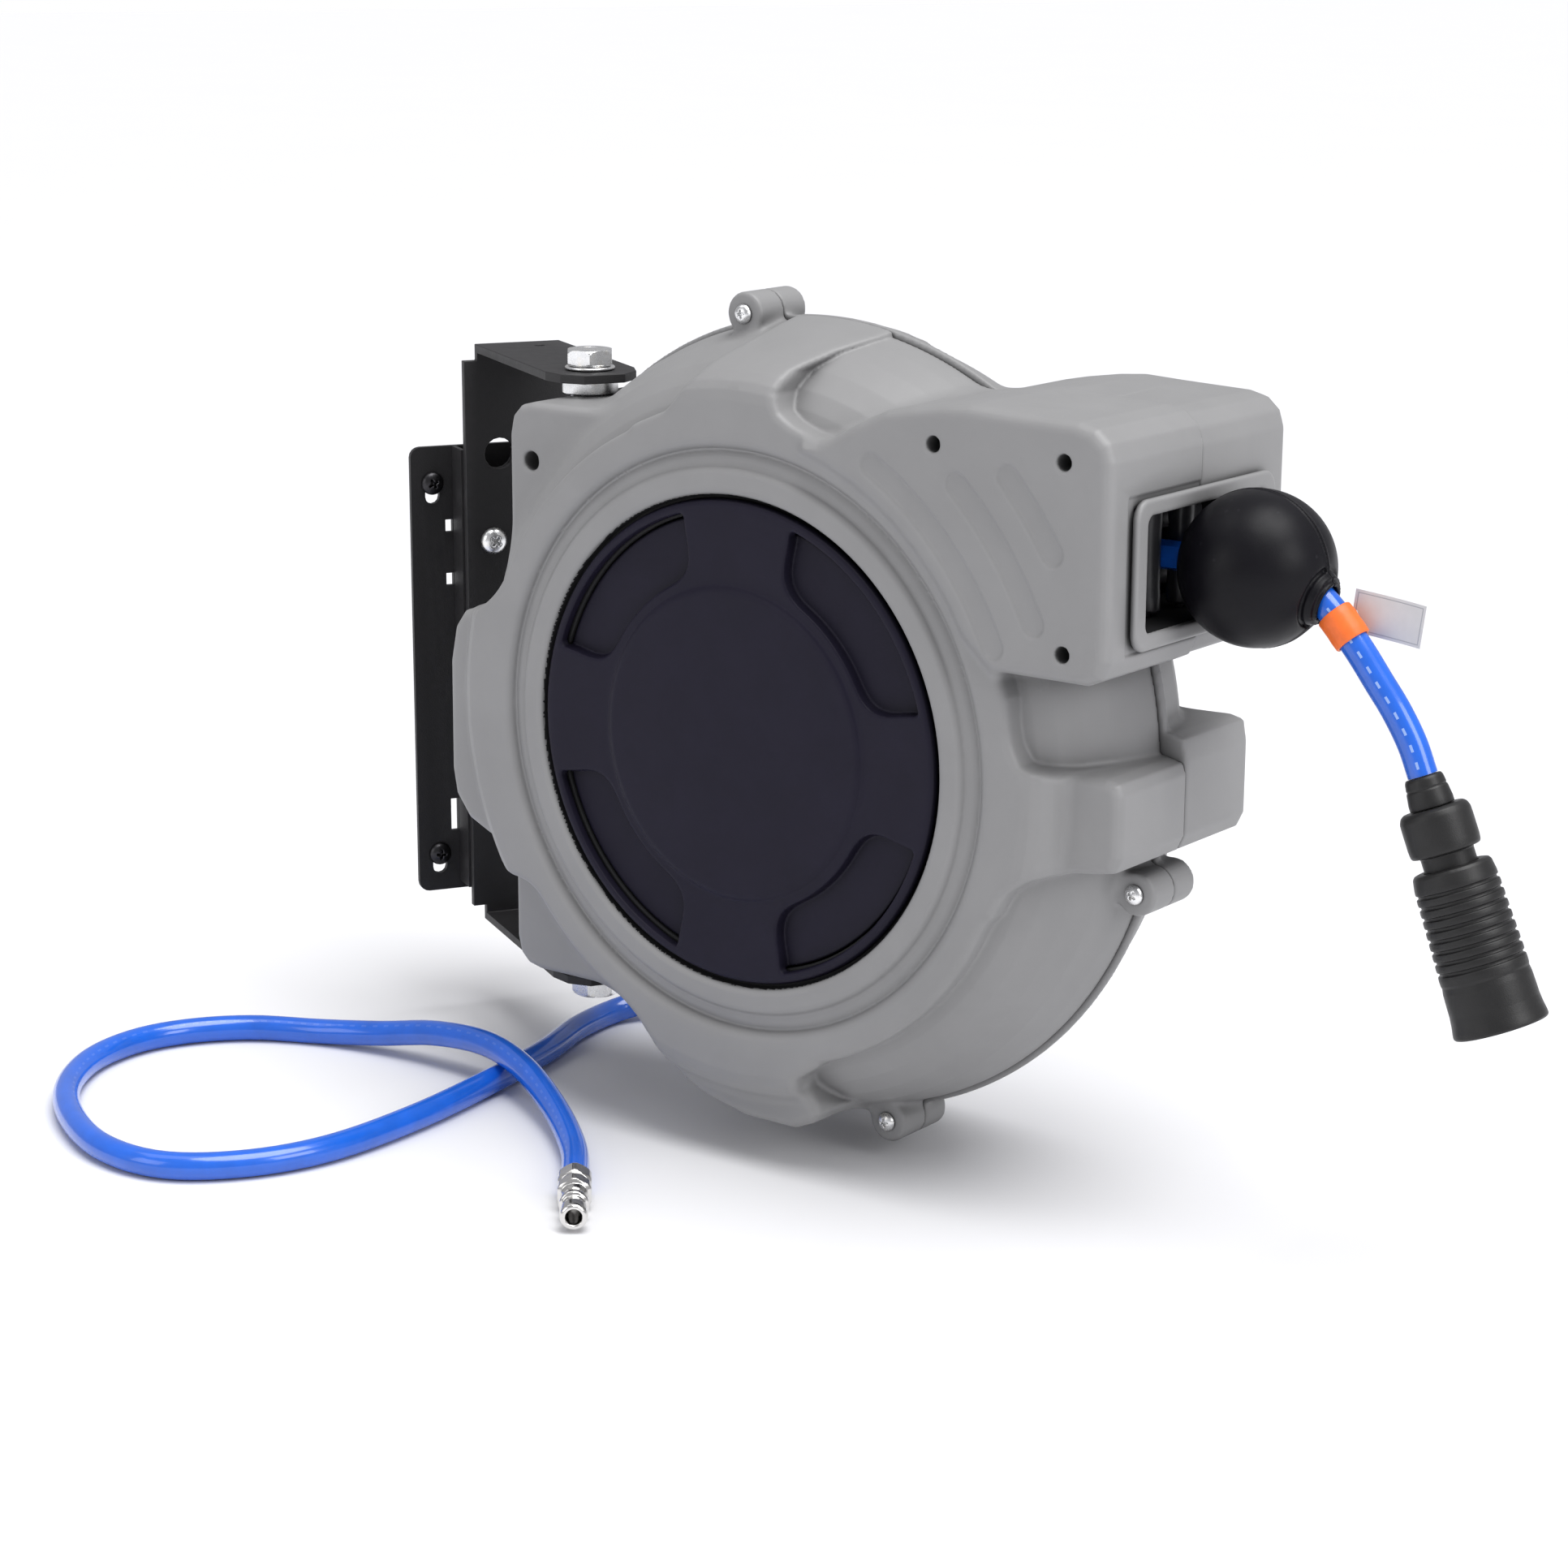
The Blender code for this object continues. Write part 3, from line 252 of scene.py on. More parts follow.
        last = bp
    if last:
        L.new(last.outputs["Normal"], b.inputs["Normal"])
    m.diffuse_color = (*color, 1)
    return m


M = {
    # the casing and the cover darken their base colour in creases and pockets: painted shade
    "casing_grey": material("casing_grey_moulded", (0.248, 0.247, 0.249), 0.48, vary=0.045, vary_scale=22, grain=0.16,
                            grain_scale=2600, wave=0.05, wave_scale=28, rough_vary=0.07, edge=0.10, dust=0.06,
                            crease_shade=0.72, reach=0.016),
    "cover_navy": material("cover_navy_moulded", (0.0110, 0.0095, 0.0200), 0.44, spec=0.13, vary=0.10, vary_scale=40, grain=0.14,
                           grain_scale=3000, wave=0.03, rough_vary=0.07, edge=0.6, dust=0.04, crease_shade=0.96, reach=0.010),
    "bracket_black": material("bracket_powder_coat", (0.0050, 0.0045, 0.0054), 0.56, spec=0.55, vary=0.12, vary_scale=60, grain=0.28,
                              grain_scale=1400, rough_vary=0.08, edge=0.9),
    "zinc_plate": material("bright_zinc", (0.82, 0.825, 0.83), 0.28, 1.0, vary=0.06, vary_scale=260, grain=0.06,
                           grain_scale=3500, rough_vary=0.09, scratches=0.12, tint=(0.80, 0.72, 0.58)),
    "black_screw": material("blackened_steel", (0.045, 0.044, 0.047), 0.34, 1.0, vary=0.15, vary_scale=400, grain=0.15,
                            edge=1.2),
    "ball_rubber": material("ball_moulding", (0.0045, 0.0042, 0.0062), 0.40, spec=0.16, vary=0.15, vary_scale=55, grain=0.12,
                            grain_scale=2200, wave=0.12, wave_scale=55, rough_vary=0.10, edge=0.8, dust=0.05),
    "band_orange": material("orange_band", (0.82, 0.150, 0.020), 0.45, vary=0.07, vary_scale=300, grain=0.20,
                            grain_scale=1800, rough_vary=0.08),
    "tag_white": material("card_white", (0.60, 0.60, 0.605), 0.6, vary=0.03, vary_scale=200, grain=0.12, grain_scale=4000),
    "coupler_black": material("coupler_moulding", (0.0130, 0.0128, 0.0130), 0.42, spec=0.35, vary=0.15, vary_scale=80, grain=0.22,
                              grain_scale=1900, rough_vary=0.09, edge=0.9, dust=0.05),
    "nickel": material("nickel_plate", (0.71, 0.70, 0.685), 0.16, 1.0, vary=0.06, vary_scale=320, grain=0.05,
                       grain_scale=3500, rough_vary=0.07, scratches=0.08),
    "brass": material("machined_brass", (0.68, 0.46, 0.17), 0.28, 1.0, vary=0.08, vary_scale=240, scratches=0.2),
    "shaft_steel": material("turned_steel", (0.46, 0.46, 0.48), 0.33, 1.0, vary=0.08, vary_scale=240, scratches=0.25),
    "spring_steel": material("blue_spring_steel", (0.20, 0.23, 0.30), 0.30, 1.0, vary=0.12, vary_scale=90, scratches=0.2),
    "drum_plastic": material("drum_moulding", (0.030, 0.030, 0.034), 0.5, vary=0.1, grain=0.2),
    "roller_plastic": material("roller_moulding", (0.028, 0.028, 0.031), 0.34, vary=0.08, grain=0.08, edge=0.5),
    # near-black; on the casing round the cover and inside the mouth it is painted shade
    "dark_inside": material("dark_well", (0.012, 0.012, 0.013), 0.7, spec=0.25, vary=0.2, grain=0.2),
}


def hose_material(name, path_dash):
    """clear-coated blue tube; dashes of paler ink along one side, drawn by the UV map"""
    m = material(name, (0.010, 0.115, 0.610), 0.22, vary=0.10, vary_scale=70, grain=0.05, grain_scale=1500,
                 rough_vary=0.06, coat=0.55, coat_rough=0.08, sub=0.0)
    nt = m.node_tree
    N, L = nt.nodes, nt.links
    b = N["Principled BSDF"]
    src = b.inputs["Base Color"].links[0].from_socket
    uv = N.new("ShaderNodeUVMap")
    uv.uv_map = "UVMap"
    sep = N.new("ShaderNodeSeparateXYZ")
    L.new(uv.outputs["UV"], sep.inputs["Vector"])
    # v = turn round the hose, u = metres along it

    def node(op, a, bb=None, c=None):
        x = N.new("ShaderNodeMath")
        x.operation = op
        for i, q in enumerate((a, bb, c)):
            if q is None:
                continue
            if isinstance(q, (int, float)):
                x.inputs[i].default_value = q
            else:
                L.new(q, x.inputs[i])
        return x.outputs["Value"]
    dash = node("LESS_THAN", node("FRACT", node("MULTIPLY", sep.outputs["X"], 1 / 0.0068)), 0.42)
    side = node("LESS_THAN", node("ABSOLUTE", node("SUBTRACT", sep.outputs["Y"], 0.5)), 0.014)
    mask = node("MULTIPLY", node("MULTIPLY", dash, side), path_dash)
    mx = N.new("ShaderNodeMix")
    mx.data_type = "RGBA"
    mx.inputs[7].default_value = (0.45, 0.60, 0.86, 1)
    L.new(mask, mx.inputs[0])
    L.new(src, mx.inputs[6])
    L.new(mx.outputs[2], b.inputs["Base Color"])
    return m


M["hose_blue"] = material("hose_polyurethane", (0.010, 0.115, 0.610), 0.24, vary=0.10, vary_scale=70, grain=0.05,
                          grain_scale=1500, rough_vary=0.06, coat=0.5, coat_rough=0.08)
M["hose_dashed"] = hose_material("hose_polyurethane_marked", 0.60)
M["hose_marked"] = hose_material("hose_polyurethane_faint", 0.07)

# carried-over CAD nodes take their slot's finish
slot_of = {s["node"]: s["material_slot"] for s in frame["record"]["subparts"]}
for name, ob in frame["nodes"].items():
    mat = M[slot_of[name]]
    if not ob.data.materials:
        ob.data.materials.append(mat)
    for s in ob.material_slots:
        s.material = mat


# ------------------------------------------------------------------ mesh helpers
def finish_piece(name, me, mat, body, replaces=(), smooth=True, angle=None):
    ob = bpy.data.objects.new(name, me)
    scene.collection.objects.link(ob)
    me.materials.clear()
    for k in (mat if isinstance(mat, (list, tuple)) else [mat]):
        me.materials.append(M[k])
    if smooth:
        me.shade_smooth()
        if angle:
            me.set_sharp_from_angle(angle=math.radians(angle))
    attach(ob, body)
    if replaces:
        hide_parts(*([replaces] if isinstance(replaces, str) else replaces))
    return ob


def mesh_from(name, verts, faces, M4=None):
    me = bpy.data.meshes.new(name)
    me.from_pydata([tuple(v) for v in verts], [], faces)
    if M4 is not None:
        me.transform(M4)
    me.update()
    return me


def basis(axis):
    a = Vector(axis).normalized()
    u = Vector((0, 0, 1)) if abs(a.z) < 0.9 else Vector((1, 0, 0))
    v = a.cross(u).normalized()
    u = v.cross(a).normalized()
    return a, u, v


def smooth_profile(pts, r, n=4):
    """round the corners of an open (radius, height) line by about r"""
    P = [np.array(p, float) for p in pts]
    out = [P[0]]
    for i in range(1, len(P) - 1):
        a, b, c = P[i - 1], P[i], P[i + 1]
        la, lc = np.linalg.norm(a - b), np.linalg.norm(c - b)
        q = min(r[i] if isinstance(r, (list, tuple)) else r, la * 0.45, lc * 0.45)
        if q < 1e-6:
            out.append(b)
            continue
        p0, p1 = b + (a - b) / la * q, b + (c - b) / lc * q
        for k in range(n + 1):
            t = k / n
            out.append(p0 * (1 - t) ** 2 + b * 2 * t * (1 - t) + p1 * t * t)
    out.append(P[-1])
    return [tuple(p) for p in out]


def lathe(profile, seg, axis, at, limit=None, phase=0.0):
    """turn an open profile of (radius, height); limit(angle, height) caps the radius"""
    a, u, v = basis(axis)
    at = Vector(at)
    verts, faces, rings = [], [], []
    for r, h in profile:
        if r < 1e-7:
            rings.append([len(verts)])
            verts.append(at + a * h)
            continue
        ring = []
        for k in range(seg):
            t = phase + 2 * math.pi * k / seg
            rr = min(r, limit(t, h)) if limit else r
            ring.append(len(verts))
            verts.append(at + a * h + (u * math.cos(t) + v * math.sin(t)) * rr)
        rings.append(ring)
    pairs = list(zip(rings, rings[1:]))
    if len(rings[0]) > 1 and len(rings[-1]) > 1:
        pairs.append((rings[-1], rings[0]))
    for p, q in pairs:
        for k in range(seg):
            n = (k + 1) % seg
            if len(p) == 1 and len(q) == 1:
                continue
            if len(p) == 1:
                faces.append((p[0], q[k], q[n]))
            elif len(q) == 1:
                faces.append((p[k], q[0], p[n]))
            else:
                faces.append((p[k], q[k], q[n], p[n]))
    return verts, faces


def outward(me):
    bm = bmesh.new()
    bm.from_mesh(me)
    bmesh.ops.recalc_face_normals(bm, faces=bm.faces)
    bm.to_mesh(me)
    bm.free()
    return me


def turned(name, profile, axis, at, mat, body, M4=M_REEL, seg=72, replaces=(), r=0.0004, limit=None,
           angle=40, phase=0.0):
    prof = smooth_profile(profile, r) if r else profile
    v, f = lathe(prof, seg, axis, at, limit, phase)
    me = outward(mesh_from(name, v, f, M4))
    return finish_piece(name, me, mat, body, replaces, angle=angle)


def hexcap(across, top, chamfer=0.0012):
    """radius limit of a hexagon; top and chamfer are not used"""
    def lim(t, h):
        a = (t % (math.pi / 3)) - math.pi / 6
        return across / 2 / math.cos(a)
    return lim


def tube(name, pts, radius, mat, body, replaces=(), seg=28, up=(0, 0, 1), caps=True):
    """round tube along points, with u = metres along and v = turn, v = 0.5 facing up"""
    P = [Vector(p) for p in pts]
    verts, faces, uvs = [], [], []
    run = 0.0
    side = None
    rings = []
    upv = Vector(up)
    for i, p in enumerate(P):
        d = (P[min(i + 1, len(P) - 1)] - P[max(i - 1, 0)]).normalized()
        if side is None:
            side = d.cross(upv).normalized()
        side = (side - d * side.dot(d)).normalized()
        top = side.cross(d)
        if i:
            run += (P[i] - P[i - 1]).length
        rings.append((len(verts), run))
        for k in range(seg):
            t = 2 * math.pi * k / seg
            verts.append(p + (-top * math.cos(t) + side * math.sin(t)) * radius)
    for (a, ra), (b, rb) in zip(rings, rings[1:]):
        for k in range(seg):
            n = (k + 1) % seg
            faces.append((a + k, a + n, b + n, b + k))
            v0, v1 = k / seg, (k + 1) / seg
            uvs += [(ra, v0), (ra, v1), (rb, v1), (rb, v0)]
    if caps:
        faces.append(tuple(reversed(range(seg))))
        uvs += [(0, 0)] * seg
        b = rings[-1][0]
        faces.append(tuple(range(b, b + seg)))
        uvs += [(0, 0)] * seg
    me = mesh_from(name, verts, faces)
    layer = me.uv_layers.new(name="UVMap")
    layer.data.foreach_set("uv", np.array(uvs, dtype=np.float32).ravel())
    ob = finish_piece(name, outward(me), mat, body, replaces, angle=60)
    return ob


def catmull(pts, step):
    P = [Vector(p) for p in pts]
    P = [P[0] * 2 - P[1]] + P + [P[-1] * 2 - P[-2]]
    fine = []
    for i in range(1, len(P) - 2):
        a, b, c, d = P[i - 1:i + 3]
        for k in range(24):
            t = k / 24
            fine.append(0.5 * ((2 * b) + (c - a) * t + (2 * a - 5 * b + 4 * c - d) * t * t
                               + (3 * b - a - 3 * c + d) * t ** 3))
    fine.append(P[-2])
    run = [0.0]
    for p, q in zip(fine, fine[1:]):
        run.append(run[-1] + (q - p).length)
    n = max(2, round(run[-1] / step))
    out, j = [], 0
    for k in range(n + 1):
        s = run[-1] * k / n
        while j < len(run) - 2 and run[j + 1] < s:
            j += 1
        f = (s - run[j]) / max(1e-9, run[j + 1] - run[j])
        out.append(fine[j].lerp(fine[j + 1], min(1, f)))
    return out, run[-1]


# ------------------------------------------------------------------ stage
bm = bmesh.new()
S = 14.0
bmesh.ops.create_grid(bm, x_segments=8, y_segments=8, size=S)
me = bpy.data.meshes.new("floor")
bm.to_mesh(me)
bm.free()
floor = bpy.data.objects.new("floor", me)
floor.location = (0.3, 0.3, FLOOR_Z)
scene.collection.objects.link(floor)
fm = material("pale_floor", (0.76, 0.76, 0.775), 0.85, vary=0.004, vary_scale=3, rough_vary=0.03)
me.materials.append(fm)

# ------------------------------------------------------------------ cords
HOSE_R = 0.006
HOSE_Z = 0.092
EL = Vector((0, 0.0795, 0))
DIRN = Vector((-0.62, 0.06, -0.78)).normalized()
ZS = -0.188 + HOSE_R + 0.0002
s0 = EL + DIRN * 0.0210
route = [s0, s0 + DIRN * 0.022, s0 + DIRN * 0.046,
         (-0.085, 0.0900, -0.118), (-0.120, 0.0905, -0.153), (-0.150, 0.082, -0.174), (-0.168, 0.058, ZS),
         (-0.165, 0.026, ZS), (-0.154, -0.010, ZS), (-0.1448, -0.0606, ZS), (-0.139, -0.115, ZS),
         (-0.141, -0.166, ZS), (-0.156, -0.202, ZS), (-0.183, -0.225, ZS), (-0.219, -0.226, ZS),
         (-0.258, -0.209, ZS), (-0.290, -0.184, ZS), (-0.311, -0.152, ZS), (-0.3165, -0.120, ZS),
         (-0.308, -0.093, ZS), (-0.288, -0.070, ZS), (-0.258, -0.054, ZS), (-0.226, -0.046, ZS + 0.0035),
         (-0.192, -0.044, ZS + 0.0100), (-0.157, -0.047, ZS + 0.0128), (-0.124, -0.058, ZS + 0.0105),
         (-0.088, -0.078, ZS + 0.0045), (-0.055, -0.104, ZS + 0.001), (-0.031, -0.131, ZS)]
hp, supply_len = catmull(route, 0.0060)
hp_row = [R(p) for p in hp]
supply_path = [R(p) for p in catmull(route, 0.030)[0]]
supply = tube("supply_hose", hp_row, HOSE_R, "hose_marked", "casing", "inlet_hose", seg=32)
cd_pts, _ = catmull(route, 0.0215)
pd = cd_pts[-1] - cd_pts[-2]
pd.z = 0
pd.normalize()
nut0 = cd_pts[-1] + pd * 0.0003
nip0 = nut0 + pd * 0.0108 + Vector((0, 0, 0.0012))

tail = [(0.2154, 0, HOSE_Z), (0.2215, 0, HOSE_Z - 0.0001), (0.2300, 0, 0.0896), (0.2390, 0, 0.0845),
        (0.2470, 0, 0.0778), (0.2535, 0, 0.0708), (0.2605, 0, 0.0628), (0.2680, 0, 0.0532), (0.2760, 0, 0.0430),
        (0.2834, 0, 0.0312), (0.2885, 0, 0.0195)]
tp, tail_len = catmull(tail, 0.0025)
tp_cad, _ = catmull(tail, 0.0070)
CD = (tp_cad[-1] - tp_cad[-2]).normalized()
C0 = tp_cad[-1] + CD * 0.0004
tail_ob = tube("hose_end_blue", [R(p) for p in tp], HOSE_R, "hose_dashed", "hose_end", "hose_tail", seg=32,
               up=tuple(M_REEL.to_3x3() @ Vector((-0.55, -1.0, 0.35))))

# ------------------------------------------------------------------ signed-distance modelling (millimetres)
def poly_sdf(pts, X, Z):
    """signed distance to a closed 2-D outline"""
    P = np.array(pts, dtype=np.float32)
    Q = np.roll(P, -1, axis=0)
    d = np.full(X.shape, 1e9, dtype=np.float32)
    inside = np.zeros(X.shape, dtype=bool)
    for (x0, z0), (x1, z1) in zip(P, Q):
        ex, ez = x1 - x0, z1 - z0
        wx, wz = X - x0, Z - z0
        t = np.clip((wx * ex + wz * ez) / (ex * ex + ez * ez + 1e-12), 0, 1)
        dx, dz = wx - ex * t, wz - ez * t
        d = np.minimum(d, dx * dx + dz * dz)
        if z0 != z1:
            c = (z0 > Z) != (z1 > Z)
            inside ^= c & (X < (x1 - x0) * (Z - z0) / (z1 - z0) + x0)
    d = np.sqrt(d)
    return np.where(inside, -d, d).astype(np.float32)


def smin(a, b, k):
    h = np.maximum(k - np.abs(a - b), 0) / k
    return np.minimum(a, b) - h * h * (k * 0.25)


def smax(a, b, k):
    return -smin(-a, -b, k)


def curve2(pts, n=6):
    """closed smooth outline through the points"""
    P = [np.array(p, float) for p in pts]
    out = []
    m = len(P)
    for i in range(m):
        a, b, c, d = P[(i - 1) % m], P[i], P[(i + 1) % m], P[(i + 2) % m]
        for k in range(n):
            t = k / n
            out.append(0.5 * ((2 * b) + (c - a) * t + (2 * a - 5 * b + 4 * c - d) * t * t
                              + (3 * b - a - 3 * c + d) * t ** 3))
    return [tuple(p) for p in out]


class Field:
    """a block of voxels; axes x, y, z in millimetres of the reel frame"""

    def __init__(self, lo, hi, h):
        self.h = h
        self.ax = [np.arange(lo[i], hi[i] + h, h, dtype=np.float32) for i in range(3)]
        self.lo = [float(a[0]) for a in self.ax]
        self.X2, self.Z2 = np.meshgrid(self.ax[0], self.ax[2], indexing="ij")
        self.R2 = np.sqrt(self.X2 ** 2 + self.Z2 ** 2)
        self.A2 = np.degrees(np.arctan2(self.Z2, self.X2))
        self.y = self.ax[1][None, :, None]
        self.shape = tuple(len(a) for a in self.ax)

    def revolve(self, profile, about=(0.0, 0.0), sign=1.0, grow=0.0):
        """profile of (radius, height); height runs along sign * y"""
        Rr = np.sqrt((self.X2 - about[0]) ** 2 + (self.Z2 - about[1]) ** 2)
        rg = np.arange(0, float(Rr.max()) + 2, 0.5, dtype=np.float32)
        hh = self.ax[1] * sign
        RG, HG = np.meshgrid(rg, hh, indexing="ij")
        f = poly_sdf(profile, RG, HG)
        if len(rg) and profile[0][0] == 0:
            pass
        out = np.empty(self.shape, dtype=np.float32)
        flat = Rr.ravel()
        for j in range(self.shape[1]):
            out[:, j, :] = np.interp(flat, rg, f[:, j]).reshape(Rr.shape)
        return out - grow

    def extrude(self, d2, y0, y1, r=0.0):
        wy = np.maximum(y0 - self.y, self.y - y1) + r
        wx = d2[:, None, :] + r
        if r <= 0:
            return np.maximum(wx, wy)
        return np.minimum(np.maximum(wx, wy), 0) + np.sqrt(np.maximum(wx, 0) ** 2 + np.maximum(wy, 0) ** 2) - r

    def outline(self, pts, y0, y1, r=0.0):
        return self.extrude(poly_sdf(pts, self.X2, self.Z2), y0, y1, r)

    def disc(self, c, rad, y0, y1, r=0.0):
        d = np.sqrt((self.X2 - c[0]) ** 2 + (self.Z2 - c[1]) ** 2) - rad
        return self.extrude(d.astype(np.float32), y0, y1, r)

    def mesh(self, d, name, M4, thin=None):
        g = vdb.FloatGrid(3.0)
        g.copyFromArray(np.ascontiguousarray(np.clip(d / self.h, -3, 3), dtype=np.float32))
        p, q = g.convertToQuads(isovalue=0.0)
        v = (p.astype(np.float64) * self.h + np.array(self.lo)) / 1000.0
        me = bpy.data.meshes.new(name)
        me.vertices.add(len(v))
        me.vertices.foreach_set("co", v.astype(np.float32).ravel())
        me.loops.add(len(q) * 4)
        me.loops.foreach_set("vertex_index", q[:, ::-1].astype(np.int32).ravel())
        me.polygons.add(len(q))
        me.polygons.foreach_set("loop_start", np.arange(0, len(q) * 4, 4, dtype=np.int32))
        me.update(calc_edges=True)
        me.validate()
        me.transform(M4)
        if thin:
            ob = bpy.data.objects.new("thin", me)
            scene.collection.objects.link(ob)
            mod = ob.modifiers.new("thin", "DECIMATE")
            mod.ratio = thin
            bpy.context.view_layer.update()
            out = bpy.data.meshes.new_from_object(ob.evaluated_get(bpy.context.evaluated_depsgraph_get()))
            bpy.data.objects.remove(ob, do_unlink=True)
            bpy.data.meshes.remove(me)
            me = out
            me.name = name
        return me


def arc_pts(r, a0, a1, n=8):
    return [(r * math.cos(math.radians(a0 + (a1 - a0) * k / n)), r * math.sin(math.radians(a0 + (a1 - a0) * k / n)))
            for k in range(n + 1)]


# ------------------------------------------------------------------ casing halves
def casing(name, s, h, thin):
    """s = -1 front half, +1 rear half"""
    front = s < 0
    lo = (-182, -71 if front else -4, -184)
    hi = (192, 4 if front else 71, 190)
    F = Field(lo, hi, h)

    def span(depth, past=8.0):
        return (-depth, past) if front else (-past, depth)

    # recessed barrel that shows between the arms
    rim = 171.6 if front else 172.6
    barrel = F.revolve([(0, -9), (rim, -9), (rim, 3), (169.6, 12), (165.4, 25), (159.2, 36), (151.8, 44.6), (145, 49.8),
                        (138.5, 53.2), (130, 54.2), (0, 54.2)], sign=s)
    # raised profile of the arms and of the ring round the cover
    ring = [(131.5, 63.0), (128.6, 62.8), (126.7, 62.0), (125.2, 60.6), (124.3, 58.9), (123.5, 59.6), (121.5, 60.4), (119.2, 60.9),
            (117.9, 60.6), (117.0, 62.2), (115.6, 63.7), (108.6, 64.0), (106.8, 63.5), (105.8, 62.2), (105.5, 60.6), (105.4, 58.8)]
    if not front:
        ring = [(131.5, 63.0), (128.2, 62.7), (126.2, 61.6), (124.8, 60.4), (123.4, 60.2), (119.0, 61.2),
                (117.6, 61.8), (116.5, 63.2), (115.0, 63.9), (108.6, 64.0), (104.0, 62.5), (101.0, 60.4),
                (60.0, 60.0), (57.0, 58.8), (30.0, 58.6), (24.0, 60.0)]
    prof = [(0, -9), (174, -9), (174, 2.0), (171.5, 13), (168.4, 24), (165.2, 34), (162.6, 43), (159.6, 50.6),
            (156.6, 56), (153.2, 60), (149.4, 62.3), (145, 63.0)] + ring + [(0, ring[-1][1])]
    raised = F.revolve(prof, sign=s)
    # where the arms stand, seen along the drum axis
    mask = F.R2 - 139.6
    arm_top = [(-52, 128), (-37, 135.5), (-24.5, 153), (-17.5, 166), (-13, 184), (46, 184), (39.0, 172),
               (35.5, 167.5), (27.5, 163.0), (21.8, 157.0), (20.0, 149.5), (22.0, 141.5), (27.0, 135.0), (36, 128), (20, 110), (-30, 110)]
    arm_right = [(130, 50), (134.6, 38), (133.6, 27), (136, 18.5), (143, 11.8), (157, 9.0), (176, 9.5),
                 (190, 9.5), (190, -29), (172, -30), (157, -32.2), (146, -35.5), (136.5, -42), (130, -50.5), (115, -55), (100, 0)]
    foot = [(-30, -110), (-60, -118), (-50, -135.5), (-42, -147), (-36, -160), (-34, -184), (48, -184), (41.5, -166), (40.5, -158),
            (35.0, -153.5), (32.2, -148), (33.5, -142), (41, -134), (30, -110)]
    arm_left = [(-110, 60), (-128, 50), (-146, 39.5), (-162, 36.5), (-190, 33), (-190, -60), (-167, -61.5), (-147, -68),
                (-132, -80), (-110, -80)]
    for a in (arm_top, arm_right, foot, arm_left):
        mask = smin(mask, poly_sdf(a, F.X2, F.Z2), 9.0)
    raised = smax(raised, mask[:, None, :] + 0 * F.y, 3.8)
    d = smin(barrel, raised, 0.9)
    del barrel, raised
    # straps, proud of the barrel
    zt = 9.5 if front else 19.0
    d = smin(d, F.outline([(118, zt), (158, zt - 0.5), (176, zt), (182.0, zt - 1.5), (183.6, zt - 6 if front else 8.5), (183.6, -22.0),
                           (180.5, -28.5), (172, -30.2), (157, -32.2), (146, -35.5), (136, -42), (118, -52)],
                          *span(50.2), 4.5), 3.0)
    d = smin(d, F.outline([(-112, 40), (-150, 38.5), (-161, 35.5), (-166.5, 28), (-169.8, 12), (-170.2, -38), (-168, -50),
                           (-160, -60.5), (-148, -66), (-112, -70)],
                          *span(54.1), 4.5), 3.0)
    d = smin(d, F.outline([(-42, -120), (-49, -136), (-41, -150), (-34.5, -158), (-22, -163.5), (0, -168.2), (26, -168.0), (36.0, -163.5),
                           (39.6, -158.5), (36, -152), (32.5, -146), (34, -120)], *span(55.0), 5.0), 3.0)
    # block that the bracket's bolts hold
    blk = F.outline([(-144.6, -116), (-142.6, -124), (-138.0, -128.4), (-131, -130), (-60, -130), (-60, 130), (-131, 130), (-138.0, 128.2),
                     (-142.6, 123.4), (-144.4, 115)], *span(40.0), 4.0)
    d = smin(d, blk, 5.0)
    # outlet box
    box = arc_pts(133.5, 74, 28, 8) + [(132, 50.0), (176.5, 50.0), (183.5, 53.2), (186.5, 60.5), (186.6, 138.0),
                                       (184.4, 145.2), (178.6, 150.4), (170.0, 152.4), (139.0, 153.6), (120.0, 154.6),
                                       (108.0, 153.6), (92.0, 151.2), (80.0, 148.8), (66.0, 142.6), (55.0, 136.4),
                                       (46.0, 132.0), (38.0, 130.6)]
    if not front:
        box = arc_pts(133.5, 74, 28, 8) + [(132, 50.8), (176.0, 50.8), (182.8, 54.0), (185.6, 61.0), (185.8, 137.0),
                                           (183.6, 144.0), (178.0, 149.0), (170.0, 151.0), (139.0, 152.2), (120.0, 153.2),
                                           (108.0, 152.2), (92.0, 149.8), (80.0, 147.4), (66.0, 141.2), (55.0, 135.2),
                                           (46.0, 131.0), (38.0, 130.0)]
    d = smin(d, F.outline(box, *span(67.9), 5.2), 5.5)
    # seam bosses
    for ang in (100, -15, -74):
        c, q = math.cos(math.radians(ang)), math.sin(math.radians(ang))
        b = F.disc((176.8 * c, 176.8 * q), 9.2, *span(16.0), 1.6)
        d = smin(d, b, 5.0)
    # seam: a proud lip on the rear half, a chamfer on the front half
    if not front:
        lip = F.revolve([(0, -9), (173.9, -9), (173.9, 3.2), (171.0, 6.0), (0, 6.0)], sign=s)
        d = smin(d, lip, 1.0)
